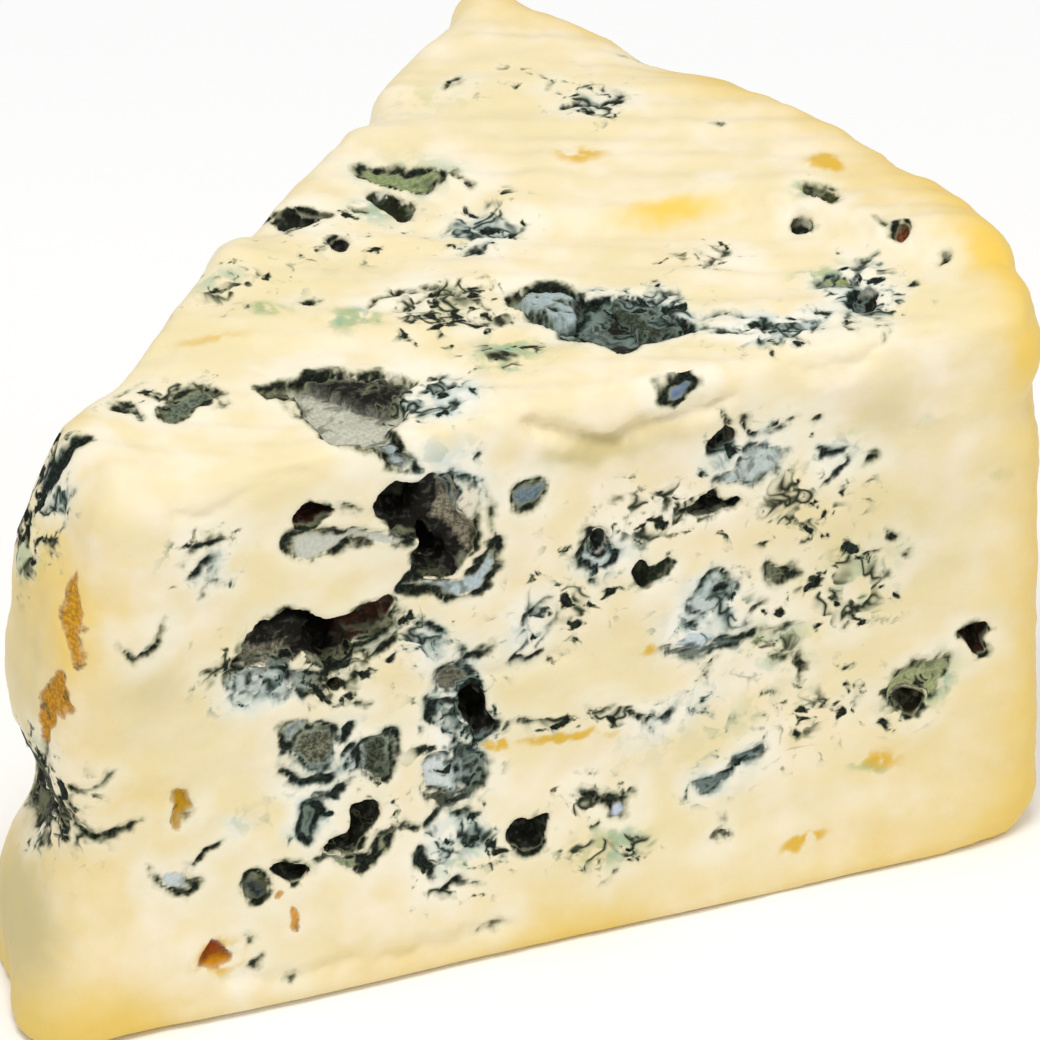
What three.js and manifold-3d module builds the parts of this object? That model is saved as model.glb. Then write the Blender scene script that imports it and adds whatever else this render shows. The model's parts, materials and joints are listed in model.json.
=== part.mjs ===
// A wedge of soft blue cheese: one eighth of a wheel that was split level at half its height.
// Millimetres, +Z up. The front cut faces -Y, the blunt tip -X, and the rind is at the round end.
// Lengths below are taken from the wheel's axis, and the last step moves the wedge over the origin.
import * as THREE from "three";
import { ImprovedNoise } from "three/addons/math/ImprovedNoise.js";
import { mergeVertices } from "three/addons/utils/BufferGeometryUtils.js";
import Module from "manifold-3d";

// The wheel and the cuts
const WHEEL_RADIUS = 140.6;
const HALF_HEIGHT = 82;
const WEDGE_ANGLE = THREE.MathUtils.degToRad(45);
const TIP_FRONT = new THREE.Vector2(15.4, 0); // the blunt tip's two corners, at the top
const TIP_BACK = new THREE.Vector2(13.2, 17.8);

// The soft paste has slumped: how far the foot of the tip and of the other sides has spread
const TIP_SPREAD = 10;
const TIP_SPREAD_ENDS = 75;
const FOOT_SPREAD = 3;
const RIM_BELLY = 1;

// How round the edges are
const CORNER_ROUND = 4;
const TOP_ROUND = 2.6;
const TIP_TOP_ROUND = 9;
const FOOT_ROUND = 1.8;
const RIND_FOOT_ROUND = 8;

// How finely the surface is divided: along the wedge, across it, and up it
const LENGTH_STEPS = 26;
const WIDTH_STEPS = 12;
const HEIGHT_STEPS = 13;
const FINE_POCKET = 60; // a pocket of more square millimetres than this has the finer lumps

// The row frame's origin, under the middle of the wedge, seen from the wheel's axis
const MIDDLE = new THREE.Vector3(72.3, 46.6, 0);

const CUT_X = Math.cos(WEDGE_ANGLE);
const CUT_Y = Math.sin(WEDGE_ANGLE);

// Slumped bulges and dents: the place, how far each reaches, and how far it stands out or goes in
const LUMPS = [
  { at: [42, 0, 3], reach: 24, rise: 3.2 }, // the front foot sags outwards
  { at: [26, 0, 2], reach: 14, rise: 1.6 },
  { at: [92, 0, 2], reach: 16, rise: 1.6 },
  { at: [6, 14, 52], reach: 17, rise: 4 }, // the tip's back edge, above and below its notch
  { at: [4, 14, 15], reach: 11, rise: 2.2 },
  { at: [6, 16, 28], reach: 6.5, rise: -5.4 },
  { at: [6, 4, 27], reach: 6, rise: -1.4 },
  { at: [92, 0, 79], reach: 8, rise: 1.5 }, // paste pushed over the front edge by the knife
  { at: [92, 0, 69], reach: 6, rise: -0.8 },
  { at: [116, 0, 78], reach: 6, rise: 1.4 },
  { at: [114, 0, 70], reach: 5, rise: -0.7 },
  { at: [139, 18, 80], reach: 20, rise: 2.8 }, // the rind's top edge by the front, and two nicks there
  { at: [141, 1, 66], reach: 4, rise: -2 },
  { at: [141, 2, 79], reach: 3, rise: -1.2 },
  { at: [47, 50, 80], reach: 12, rise: 1.2 }, // the back edge of the top
  { at: [24, 28, 80], reach: 9, rise: -1.8 },
  { at: [64, 66, 80], reach: 9, rise: 1.2 },
  { at: [73, 75, 82], reach: 4, rise: -3.4 },
  { at: [52, 53, 82], reach: 4, rise: -1.6 },
  { at: [118, 77, 82], reach: 7, rise: -2 }, // the bite in the rind's top edge
  { at: [137, 37, 82], reach: 3, rise: -1.2 },
  { at: [40, 4, 82], reach: 15, rise: -1.6 }, // the top sinks towards the front edge near the tip
];

// The top was torn along a mould seam, so the part behind this line stands a little higher
const SEAM = [[68, 76], [80, 50], [92, 40], [112, 37], [128, 20], [144, 12]];
const SEAM_STEP = 2.2;
const SEAM_WIDTH = 5;

// Open pockets, in millimetres on their face: along it, up it, width, height, depth, turn in degrees.
// On the top, up is away from the front cut. On the front and the back, along is from the wheel's axis.
const POCKETS = [
  ["front", 56, 67.5, 13, 12, 10, -25],
  ["front", 61, 62.5, 9, 9, 7, 20],
  ["front", 57.5, 59.5, 10, 4, 5, 5],
  ["front", 42, 71.5, 5, 4, 5, 10],
  ["front", 44, 55, 20, 9, 10, 14],
  ["front", 35.5, 52, 9, 6, 6, 30],
  ["front", 42.5, 48.5, 8, 8, 7, 0],
  ["front", 61.5, 40, 7, 10, 8, 5],
  ["front", 64, 34, 6, 8, 7, -20],
  ["front", 60, 25.5, 9, 4, 4, 20],
  ["front", 40.5, 37, 8, 8, 3, 0],
  ["front", 46.5, 22, 6, 10, 6, -25],
  ["front", 40, 16, 7, 4, 5, 10],
  ["front", 70.5, 16.5, 4.5, 3, 4, 25],
  ["front", 79.8, 59, 4, 4, 4, 0],
  ["front", 95.5, 62, 7, 3, 4, 25],
  ["front", 132, 32, 3.5, 4, 5, 20],
  ["front", 124.5, 26.5, 10, 6, 4, 35],
  ["front", 28.5, 6.5, 5, 3.5, 4, 0],
  ["front", 78, 31.5, 20, 1.6, 3, -3],
  ["tip", 9, 74, 6, 6, 3, 0],
  ["tip", 8, 29, 9, 5, 3, 0],
  ["top", 51, 8, 20, 11, 6, -22],
  ["top", 69, 27, 15, 9, 4, -14],
  ["top", 87, 18, 25, 13, 5, -20],
  ["top", 120, 12.5, 5, 10, 5, 15],
  ["top", 69.5, 51.5, 5, 5, 4, -40],
  ["top", 57, 54.5, 8, 5, 4, 20],
  ["top", 129.5, 23, 3.5, 3, 3, 0],
  ["top", 105, 36, 13, 4, 2.5, 8],
  ["top", 32, 16, 10, 4, 2.5, 35],
];

// The back cut, which has pockets of the same kinds by a rule
const BACK_POCKETS = 9;
const BACK_SEED = 29;

const LUMPY = new ImprovedNoise();

// Smooth noise between about -1 and 1, with bumps of the given size in millimetres
function noise(p, size, seed = 0) {
  return LUMPY.noise(p.x / size + seed, p.y / size + 7.3 * seed, p.z / size - 3.1 * seed);
}

// A point of the plan, from its share of the way to the rind and from the front cut to the back cut
function planPoint(outwards, across) {
  const angle = WEDGE_ANGLE * across;
  const rim = new THREE.Vector2(Math.cos(angle), Math.sin(angle)).multiplyScalar(WHEEL_RADIUS);
  return TIP_FRONT.clone().lerp(TIP_BACK, across).lerp(rim, outwards);
}

const LENGTH = WHEEL_RADIUS - TIP_FRONT.x;
const TIP_WIDTH = TIP_FRONT.distanceTo(TIP_BACK);
const RIM_WIDTH = WHEEL_RADIUS * WEDGE_ANGLE;

// Where a box of the given length is divided: evenly, with two more places in each rounded end
function stops(length, round, steps) {
  const even = Array.from({ length: steps + 1 }, (_, i) => round + ((length - 2 * round) * i) / steps);
  return [0, round * 0.45, ...even, length - round * 0.45, length];
}

// How round the wedge is at a place of the box: along it, across it and upright
function roundness(outwards, across, upwards) {
  const step = THREE.MathUtils.smoothstep;
  const mix = THREE.MathUtils.lerp;
  const rind = step(outwards, 0.86, 1);
  const tip = 1 - step(outwards, 0, 0.3);
  const foot = mix(FOOT_ROUND, RIND_FOOT_ROUND, rind);
  const brow = mix(TOP_ROUND, TIP_TOP_ROUND, tip * (1 - step(across, 0.35, 0.8)));
  const lengthwise = upwards < 0.5 ? mix(CORNER_ROUND, foot, 1 - step(upwards, 0, 0.2)) : CORNER_ROUND;
  const corner = Math.max(rind, 1 - step(outwards, 0, 0.1));
  const widthwise = mix(upwards < 0.5 ? FOOT_ROUND : brow, CORNER_ROUND, corner);
  return new THREE.Vector3(lengthwise, widthwise, upwards < 0.5 ? foot : brow);
}

// Rounds a place on the box: it is pulled in to an inner box and pushed out by an ellipsoid
function roundedPlace(place, size) {
  const round = roundness(place.x / size.x, place.y / size.y, place.z / size.z);
  const inner = place.clone().clamp(round, size.clone().sub(round));
  const out = place.clone().sub(inner).divide(round);
  return out.length() > 0 ? inner.add(out.normalize().multiply(round)) : inner;
}

// One vertex of the body from its place on the box
function bodyPoint(along, across, upwards) {
  const width = THREE.MathUtils.lerp(TIP_WIDTH, RIM_WIDTH, along / LENGTH);
  const size = new THREE.Vector3(LENGTH, width, HALF_HEIGHT);
  const place = roundedPlace(new THREE.Vector3(along, across * width, upwards), size);
  const outwards = place.x / LENGTH;
  const share = place.z / HALF_HEIGHT;
  const spread = FOOT_SPREAD * (1 - share) ** 4;
  const belly = RIM_BELLY * 4 * share * (1 - share);
  const length = place.x + outwards * (spread + belly);
  const sideways = place.y / width + (spread / width) * ((2 * place.y) / width - 1);
  const plan = planPoint(length / LENGTH, sideways);
  const near = 1 - THREE.MathUtils.smoothstep(plan.x, TIP_FRONT.x, TIP_SPREAD_ENDS);
  return new THREE.Vector3(plan.x - TIP_SPREAD * (1 - share) * near * (1 - outwards), plan.y, place.z);
}

// The smooth body: a box, divided, rounded and fitted to the plan
function smoothBody() {
  const lengthStops = stops(LENGTH, CORNER_ROUND, LENGTH_STEPS);
  const heightStops = stops(HALF_HEIGHT, (TOP_ROUND + CORNER_ROUND) / 2, HEIGHT_STEPS);
  const widthStops = stops(1, CORNER_ROUND / RIM_WIDTH, WIDTH_STEPS);
  const steps = [lengthStops.length - 1, widthStops.length - 1, heightStops.length - 1];
  const box = new THREE.BoxGeometry(1, 1, 1, ...steps);
  box.clearGroups();
  box.deleteAttribute("normal");
  box.deleteAttribute("uv");
  const geometry = mergeVertices(box, 1e-5);
  const place = geometry.getAttribute("position");
  for (let i = 0; i < place.count; i++) {
    const step = [place.getX(i), place.getY(i), place.getZ(i)].map((p, k) => Math.round((p + 0.5) * steps[k]));
    const p = bodyPoint(lengthStops[step[0]], widthStops[step[1]], heightStops[step[2]]);
    place.setXYZ(i, p.x, p.y, p.z);
  }
  geometry.computeVertexNormals();
  return geometry;
}

// How far behind the seam a point lies, from 0 in front of it to 1
const seamPoints = new THREE.SplineCurve(SEAM.map((p) => new THREE.Vector2(...p))).getPoints(40);
function behindSeam(p) {
  let nearest = Infinity;
  let side = 0;
  for (let i = 0; i + 1 < seamPoints.length; i++) {
    const a = seamPoints[i];
    const along = seamPoints[i + 1].clone().sub(a);
    const away = new THREE.Vector2(p.x, p.y).sub(a);
    if (away.length() < nearest) {
      nearest = away.length();
      side = along.cross(away) / along.length();
    }
  }
  return THREE.MathUtils.smoothstep(side, -SEAM_WIDTH / 2, SEAM_WIDTH / 2);
}

// Long shallow swells left by the cut and by handling
function swell(p) {
  const broad = Math.sin(p.x / 13 + 1.1) * Math.sin(p.y / 11 + 0.4) + Math.sin(p.z / 12 + p.x / 31);
  const small = Math.sin(p.x / 5.3 + p.z / 7) * Math.sin(p.y / 4.6 - p.z / 6.1 + 0.7);
  return 0.35 * broad + 0.3 * small;
}

// How far the surface stands out at a point of the smooth body
function relief(p) {
  let rise = swell(p);
  for (const lump of LUMPS) {
    const away = p.distanceTo(new THREE.Vector3(...lump.at)) / lump.reach;
    rise += lump.rise * Math.exp(-away * away);
  }
  const top = THREE.MathUtils.smoothstep(p.z, HALF_HEIGHT - 6, HALF_HEIGHT);
  return rise + top * SEAM_STEP * (behindSeam(p) - 0.5);
}

// Moves each point of the body out by its relief. The base stays flat.
function slumpedBody() {
  const geometry = smoothBody();
  const place = geometry.getAttribute("position");
  const normal = geometry.getAttribute("normal");
  for (let i = 0; i < place.count; i++) {
    const p = new THREE.Vector3().fromBufferAttribute(place, i);
    const out = new THREE.Vector3().fromBufferAttribute(normal, i);
    const grounded = THREE.MathUtils.smoothstep(p.z, 0, 5);
    const sideways = out.clone().setZ(0);
    const rise = relief(p);
    const moved = p.clone().addScaledVector(out, rise * grounded);
    if (p.z > 0) moved.addScaledVector(sideways, rise * (1 - grounded));
    if (p.z > 0) moved.z = Math.max(moved.z, 0.02);
    place.setXYZ(i, moved.x, moved.y, moved.z);
  }
  return geometry;
}

// A face's own directions, and a point well outside it over the given place
const FACES = {
  front: { over: (along, up) => [along, -50, up], along: [1, 0, 0], up: [0, 0, 1] },
  top: { over: (along, up) => [along, up, HALF_HEIGHT + 50], along: [1, 0, 0], up: [0, 1, 0] },
  tip: { over: (along, up) => [-50, along, up], along: [0, -1, 0], up: [0, 0, 1] },
  back: {
    over: (along, up) => [along * CUT_X - 50 * CUT_Y, along * CUT_Y + 50 * CUT_X, up],
    along: [-CUT_X, -CUT_Y, 0],
    up: [0, 0, 1],
  },
};

// The point of the slumped surface under that place
const slumped = slumpedBody();
const surface = new THREE.Mesh(slumped);
function onSurface(over, out) {
  const hits = new THREE.Raycaster(over, out.clone().negate()).intersectObject(surface);
  return hits[0].point;
}

// A lumpy blob that a pocket is cut with. Its middle lies under the face, so the pocket widens inside.
function pocketCutter([face, along, up, width, height, depth, turn], number) {
  const splits = width * height > FINE_POCKET ? 2 : 1;
  const geometry = new THREE.IcosahedronGeometry(1, splits);
  const place = geometry.getAttribute("position");
  for (let i = 0; i < place.count; i++) {
    const p = new THREE.Vector3().fromBufferAttribute(place, i);
    p.multiplyScalar(1 + 0.34 * noise(p, 0.62, number));
    place.setXYZ(i, p.x, p.y, p.z);
  }
  const frame = FACES[face];
  const x = new THREE.Vector3(...frame.along);
  const y = new THREE.Vector3(...frame.up);
  const out = new THREE.Vector3().crossVectors(x, y);
  geometry.scale(width / 2, height / 2, depth * 0.62);
  geometry.rotateZ(THREE.MathUtils.degToRad(turn));
  geometry.translate(0, 0, -depth * 0.38);
  geometry.applyMatrix4(new THREE.Matrix4().makeBasis(x, y, out));
  geometry.translate(...onSurface(new THREE.Vector3(...frame.over(along, up)), out));
  return geometry;
}

// Pockets of the back cut, thicker towards its middle, kept clear of its edges
function backPockets() {
  const made = [];
  THREE.MathUtils.seededRandom(BACK_SEED);
  for (let i = 0; i < BACK_POCKETS; i++) {
    const random = () => THREE.MathUtils.seededRandom();
    const along = 34 + ((i + random()) * 92) / BACK_POCKETS;
    const up = 18 + 50 * random();
    const width = 4 + 9 * random() * random();
    made.push(["back", along, up, width, width * (0.45 + 0.4 * random()), 3 + width * 0.4, 60 * random() - 30]);
  }
  return made;
}

const wasm = await Module();
wasm.setup();

// A three.js geometry as a solid that can be cut
function toSolid(geometry) {
  const bare = geometry.clone();
  bare.deleteAttribute("normal");
  bare.deleteAttribute("uv");
  const merged = mergeVertices(bare, 1e-3);
  return new wasm.Manifold(
    new wasm.Mesh({
      numProp: 3,
      vertProperties: merged.getAttribute("position").array,
      triVerts: new Uint32Array(merged.index.array),
    }),
  );
}

function toGeometry(solid) {
  const mesh = solid.getMesh();
  const geometry = new THREE.BufferGeometry();
  geometry.setAttribute("position", new THREE.BufferAttribute(mesh.vertProperties, mesh.numProp));
  geometry.setIndex(new THREE.BufferAttribute(mesh.triVerts, 1));
  geometry.computeVertexNormals();
  return geometry;
}

const cutters = [...POCKETS, ...backPockets()].map((pocket, number) => toSolid(pocketCutter(pocket, number)));
const hollows = cutters.reduce((all, cutter) => all.add(cutter));

// A crumb that the pockets cut loose isn't part of the wedge
const pieces = toSolid(slumped).subtract(hollows).decompose();
const cheese = pieces.sort((a, b) => b.volume() - a.volume())[0];

const paste = new THREE.MeshStandardMaterial({ color: 0xf0e2b6, roughness: 0.5, metalness: 0 });
const wedge = new THREE.Mesh(toGeometry(cheese), paste);
wedge.name = "cheese_wedge";
wedge.position.copy(MIDDLE).negate();

const model = new THREE.Group();
model.add(wedge);
export default model;
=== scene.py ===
import json
import math

import bmesh
import bpy
import numpy as np
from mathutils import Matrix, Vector, noise
from mathutils.bvhtree import BVHTree
from mathutils.kdtree import KDTree

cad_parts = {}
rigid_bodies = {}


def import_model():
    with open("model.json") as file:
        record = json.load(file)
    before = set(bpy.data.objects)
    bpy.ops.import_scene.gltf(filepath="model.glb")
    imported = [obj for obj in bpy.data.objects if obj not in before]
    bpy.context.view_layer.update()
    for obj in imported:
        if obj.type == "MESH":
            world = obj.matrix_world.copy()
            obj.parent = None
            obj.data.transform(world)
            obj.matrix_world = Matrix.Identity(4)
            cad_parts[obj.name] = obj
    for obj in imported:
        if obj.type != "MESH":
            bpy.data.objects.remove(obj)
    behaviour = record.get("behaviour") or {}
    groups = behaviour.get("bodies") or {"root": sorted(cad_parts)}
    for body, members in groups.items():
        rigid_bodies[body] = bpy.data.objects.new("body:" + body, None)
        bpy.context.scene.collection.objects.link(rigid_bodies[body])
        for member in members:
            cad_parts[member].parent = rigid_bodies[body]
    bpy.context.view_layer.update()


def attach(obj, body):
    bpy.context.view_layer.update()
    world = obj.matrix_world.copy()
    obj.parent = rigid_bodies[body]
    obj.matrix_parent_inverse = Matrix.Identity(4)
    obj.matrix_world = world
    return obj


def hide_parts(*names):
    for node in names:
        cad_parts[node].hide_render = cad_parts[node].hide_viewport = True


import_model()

# The wedge itself: one eighth of a wheel of soft blue cheese that was split level at half its height.
# It was cut with a wire, so the faces are plain, and it has slumped and spread at its foot since.
# Lengths are in millimetres from the wheel's axis, and MIDDLE is the row frame's origin.
WHEEL_RADIUS = 140.6
HALF_HEIGHT = 82
WEDGE_ANGLE = math.radians(45)
TIP_FRONT = np.array([15.4, 0])
TIP_BACK = np.array([13.2, 17.8])
TIP_SPREAD = 10
TIP_SPREAD_ENDS = 75
FOOT_SPREAD = 3
RIM_BELLY = 1
CORNER_ROUND = 4
TOP_ROUND = 2.6
TIP_TOP_ROUND = 9
FOOT_ROUND = 1.8
RIND_FOOT_ROUND = 8
MIDDLE = np.array([72.3, 46.6, 0])
LENGTH = WHEEL_RADIUS - TIP_FRONT[0]
TIP_WIDTH = np.linalg.norm(TIP_FRONT - TIP_BACK)
RIM_WIDTH = WHEEL_RADIUS * WEDGE_ANGLE

# Slumped bulges and dents: the place, how far each reaches, and how far it stands out or goes in
LUMPS = [
    ((42, 0, 3), 24, 1.2),  # the front foot sags outwards
    ((26, 0, 2), 14, 0.6),
    ((92, 0, 2), 16, 0.4),
    ((6, 14, 52), 17, 4),  # the tip's back edge, above and below its notch
    ((8, 16, 66), 8, 2.2),
    ((4, 14, 15), 11, 1),
    ((4, 14, 3), 8, -1),
    ((5, 1, 3), 9, 3.2),  # the tip's front foot
    ((6, 16, 28), 6.5, -5.4),
    ((6, 4, 27), 6, -1.4),
    ((92, 0, 79), 8, 1.5),  # paste pushed over the front edge by the wire
    ((92, 0, 69), 6, -0.8),
    ((116, 0, 78), 6, 1.4),
    ((114, 0, 70), 5, -0.7),
    ((139, 18, 80), 20, 2.8),  # the rind's top edge by the front, and two nicks there
    ((141, 1, 66), 4, -2),
    ((141, 2, 79), 3, -1.2),
    ((47, 50, 80), 7, 2),  # the back edge of the top
    ((90, 90, 80), 8, -0.4),
    ((99, 99, 80), 6, 1.6),
    ((97, 100, 80), 5, 1),
    ((24, 28, 80), 9, -1.8),
    ((64, 66, 80), 9, 1.2),
    ((73, 75, 82), 4, -3.4),
    ((52, 53, 82), 4, -1.6),
    ((118, 77, 82), 7, -2),  # the bite in the rind's top edge
    ((137, 37, 82), 3, -1.2),
    ((40, 4, 82), 15, -1.6),  # the top sinks towards the front edge near the tip
]

# The top was torn along a mould seam, so the part behind this line stands a little higher
SEAM = [(68, 76), (80, 50), (92, 40), (112, 37), (128, 20), (144, 12)]
SEAM_STEP = 2.2
SEAM_WIDTH = 3.5


def smoothstep(value, low, high):
    share = np.clip((value - low) / (high - low), 0, 1)
    return share * share * (3 - 2 * share)


def mix(low, high, share):
    return low + (high - low) * share


def plan_point(outwards, across):
    """A point of the plan, from its share of the way to the rind and from the front to the back cut."""
    angle = WEDGE_ANGLE * across
    rim = WHEEL_RADIUS * np.stack([np.cos(angle), np.sin(angle)], -1)
    tip = mix(TIP_FRONT, TIP_BACK, across[:, None])
    return mix(tip, rim, outwards[:, None])


def roundness(outwards, across, upwards):
    """How round the wedge is at a place: along it, across it and upright."""
    rind = smoothstep(outwards, 0.86, 1)
    tip = 1 - smoothstep(outwards, 0, 0.3)
    foot = mix(FOOT_ROUND, RIND_FOOT_ROUND, rind)
    brow = mix(TOP_ROUND, TIP_TOP_ROUND, tip * (1 - smoothstep(across, 0.35, 0.8)))
    low = upwards < 0.5
    lengthwise = np.where(low, mix(CORNER_ROUND, foot, 1 - smoothstep(upwards, 0, 0.2)), CORNER_ROUND)
    corner = np.maximum(rind, 1 - smoothstep(outwards, 0, 0.1))
    widthwise = mix(np.where(low, FOOT_ROUND, brow), CORNER_ROUND, corner)
    return np.stack([lengthwise, widthwise, np.where(low, foot, brow)], -1)


def body_points(along, across, upwards):
    """Places on a box, rounded, slumped and fitted to the plan."""
    width = mix(TIP_WIDTH, RIM_WIDTH, along / LENGTH)
    size = np.stack([np.full_like(width, LENGTH), width, np.full_like(width, HALF_HEIGHT)], -1)
    place = np.stack([along, across * width, upwards], -1)
    reach = roundness(*(place / size).T)
    inner = np.clip(place, reach, size - reach)
    out = (place - inner) / reach
    far = np.linalg.norm(out, axis=1, keepdims=True)
    place = inner + reach * out / np.maximum(far, 1e-9)
    outwards = place[:, 0] / LENGTH
    share = place[:, 2] / HALF_HEIGHT
    spread = FOOT_SPREAD * (1 - share) ** 4
    belly = RIM_BELLY * 4 * share * (1 - share)
    length = place[:, 0] + outwards * (spread + belly)
    sideways = place[:, 1] / width + spread / width * (2 * place[:, 1] / width - 1)
    plan = plan_point(length / LENGTH, sideways)
    near = 1 - smoothstep(plan[:, 0], TIP_FRONT[0], TIP_SPREAD_ENDS)
    plan[:, 0] -= TIP_SPREAD * (1 - share) * near * (1 - outwards)
    return np.column_stack([plan, place[:, 2]])


def stops(length, round_end, count):
    """Where a box of the given length is divided: evenly, and more closely in each rounded end."""
    ends = round_end * np.linspace(0, 1, 6)[:-1] ** 0.8
    return np.concatenate([ends, np.linspace(round_end, length - round_end, count), length - ends[::-1]])


def box_grid(counts):
    """The lattice places of a closed box's surface, and its four-cornered faces."""
    faces = []
    for axis in range(3):
        a, b = [k for k in range(3) if k != axis]
        first, second = np.meshgrid(np.arange(counts[a]), np.arange(counts[b]), indexing="ij")
        for side in (0, counts[axis]):
            corners = []
            for da, db in ((0, 0), (1, 0), (1, 1), (0, 1)):
                corner = np.zeros((first.size, 3), int)
                corner[:, axis] = side
                corner[:, a] = first.ravel() + da
                corner[:, b] = second.ravel() + db
                corners.append(corner)
            outwards = (side > 0) == (axis != 1)
            faces.append(np.stack(corners if outwards else corners[::-1], 1))
    faces = np.concatenate(faces)
    places, index = np.unique(faces.reshape(-1, 3), axis=0, return_inverse=True)
    return places, index.reshape(-1, 4)


def normals_of(points, faces):
    """Unit normals at the points of a mesh of four-cornered faces."""
    corner = points[faces]
    square = np.cross(corner[:, 2] - corner[:, 0], corner[:, 3] - corner[:, 1])
    summed = np.zeros_like(points)
    for k in range(4):
        np.add.at(summed, faces[:, k], square)
    return summed / np.maximum(np.linalg.norm(summed, axis=1, keepdims=True), 1e-12)


def curve_through(points, count):
    """Places evenly spread in number along a smooth curve through the given points."""
    points = np.array(points, float)
    ends = np.vstack([2 * points[0] - points[1], points, 2 * points[-1] - points[-2]])
    at = np.linspace(0, len(points) - 1 - 1e-9, count)
    i = at.astype(int)
    t = (at - i)[:, None]
    a, b, c, d = (ends[i + k] for k in range(4))
    return 0.5 * (2 * b + (c - a) * t + (2 * a - 5 * b + 4 * c - d) * t**2 + (3 * b - a - 3 * c + d) * t**3)


def behind_seam(points):
    """0 in front of the seam of the top and 1 behind it."""
    seam = curve_through(SEAM, 60)
    away = np.linalg.norm(points[:, None, :2] - seam[None, :-1], axis=2)
    nearest = np.argmin(away, axis=1)
    along = (seam[1:] - seam[:-1])[nearest]
    from_seam = points[:, :2] - seam[nearest]
    side = (along[:, 0] * from_seam[:, 1] - along[:, 1] * from_seam[:, 0]) / np.linalg.norm(along, axis=1)
    return smoothstep(side, -SEAM_WIDTH / 2, SEAM_WIDTH / 2)


def swell(p):
    """Long shallow swells left by the cut and by handling."""
    x, y, z = p.T
    broad = np.sin(x / 13 + 1.1) * np.sin(y / 11 + 0.4) + np.sin(z / 12 + x / 31)
    small = np.sin(x / 5.3 + z / 7) * np.sin(y / 4.6 - z / 6.1 + 0.7)
    return 0.35 * broad + 0.3 * small


def relief(p):
    """How far the surface stands out at a point of the smooth body."""
    rise = swell(p)
    for place, reach, height in LUMPS:
        away = np.linalg.norm(p - np.array(place), axis=1) / reach
        rise += height * np.exp(-away * away)
    top = smoothstep(p[:, 2], HALF_HEIGHT - 6, HALF_HEIGHT)
    return rise + top * SEAM_STEP * (behind_seam(p) - 0.5)


def slumped(p, out):
    """The points of the body moved out by their relief. The base stays flat."""
    grounded = smoothstep(p[:, 2:], 0, 5)
    rise = relief(p)[:, None] * (p[:, 2:] > 0)
    sideways = out * np.array([1, 1, 0])
    moved = p + out * rise * grounded + sideways * rise * (1 - grounded)
    moved[:, 2] = np.where(p[:, 2] > 0, np.maximum(moved[:, 2], 0.02), 0)
    return moved


def mesh_object(name, points, faces):
    """An object from places in millimetres from the wheel's axis."""
    mesh = bpy.data.meshes.new(name)
    mesh.from_pydata(((points - MIDDLE) / 1000).tolist(), [], faces.tolist())
    made = bpy.data.objects.new(name, mesh)
    bpy.context.scene.collection.objects.link(made)
    return made


BODY_STEP = 1.5
sides = [
    stops(LENGTH, CORNER_ROUND, int(LENGTH / BODY_STEP)),
    stops(1, CORNER_ROUND / RIM_WIDTH, int(RIM_WIDTH * 0.7 / BODY_STEP)),
    stops(HALF_HEIGHT, CORNER_ROUND, int(HALF_HEIGHT / BODY_STEP)),
]
lattice, body_faces = box_grid([len(side) - 1 for side in sides])
body_places = body_points(*(side[lattice[:, k]] for k, side in enumerate(sides)))
body_places = slumped(body_places, normals_of(body_places, body_faces))
wedge = mesh_object("wedge_of_blue_cheese", body_places, body_faces)
skin = BVHTree.FromPolygons(body_places.tolist(), body_faces.tolist())

# The open pockets where the curd never closed up, each lined with a velvet of mould. They are wider
# inside than at the mouth, so their depths lie in shadow, and the material also blackens them with
# painted shade. Outlines are those of the real holes.
CUT_X, CUT_Y = math.cos(WEDGE_ANGLE), math.sin(WEDGE_ANGLE)
SLANT = math.sqrt(0.5)

# Each face's corner that places on it are measured from, the ways along and up it, and the way out.
# The brow is the rounded edge between the top and the front cut.
FACES = {
    "front": ((0, 0, 0), (1, 0, 0), (0, 0, 1), (0, -1, 0)),
    "top": ((0, 0, HALF_HEIGHT), (1, 0, 0), (0, 1, 0), (0, 0, 1)),
    "brow": ((0, 0, HALF_HEIGHT), (1, 0, 0), (0, SLANT, SLANT), (0, -SLANT, SLANT)),
    "tip": ((10, 0, 0), (0, 1, 0), (0, 0, 1), (-1, 0, 0)),
    "back": ((0, 0, 0), (CUT_X, CUT_Y, 0), (0, 0, 1), (-CUT_Y, CUT_X, 0)),
}
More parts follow.
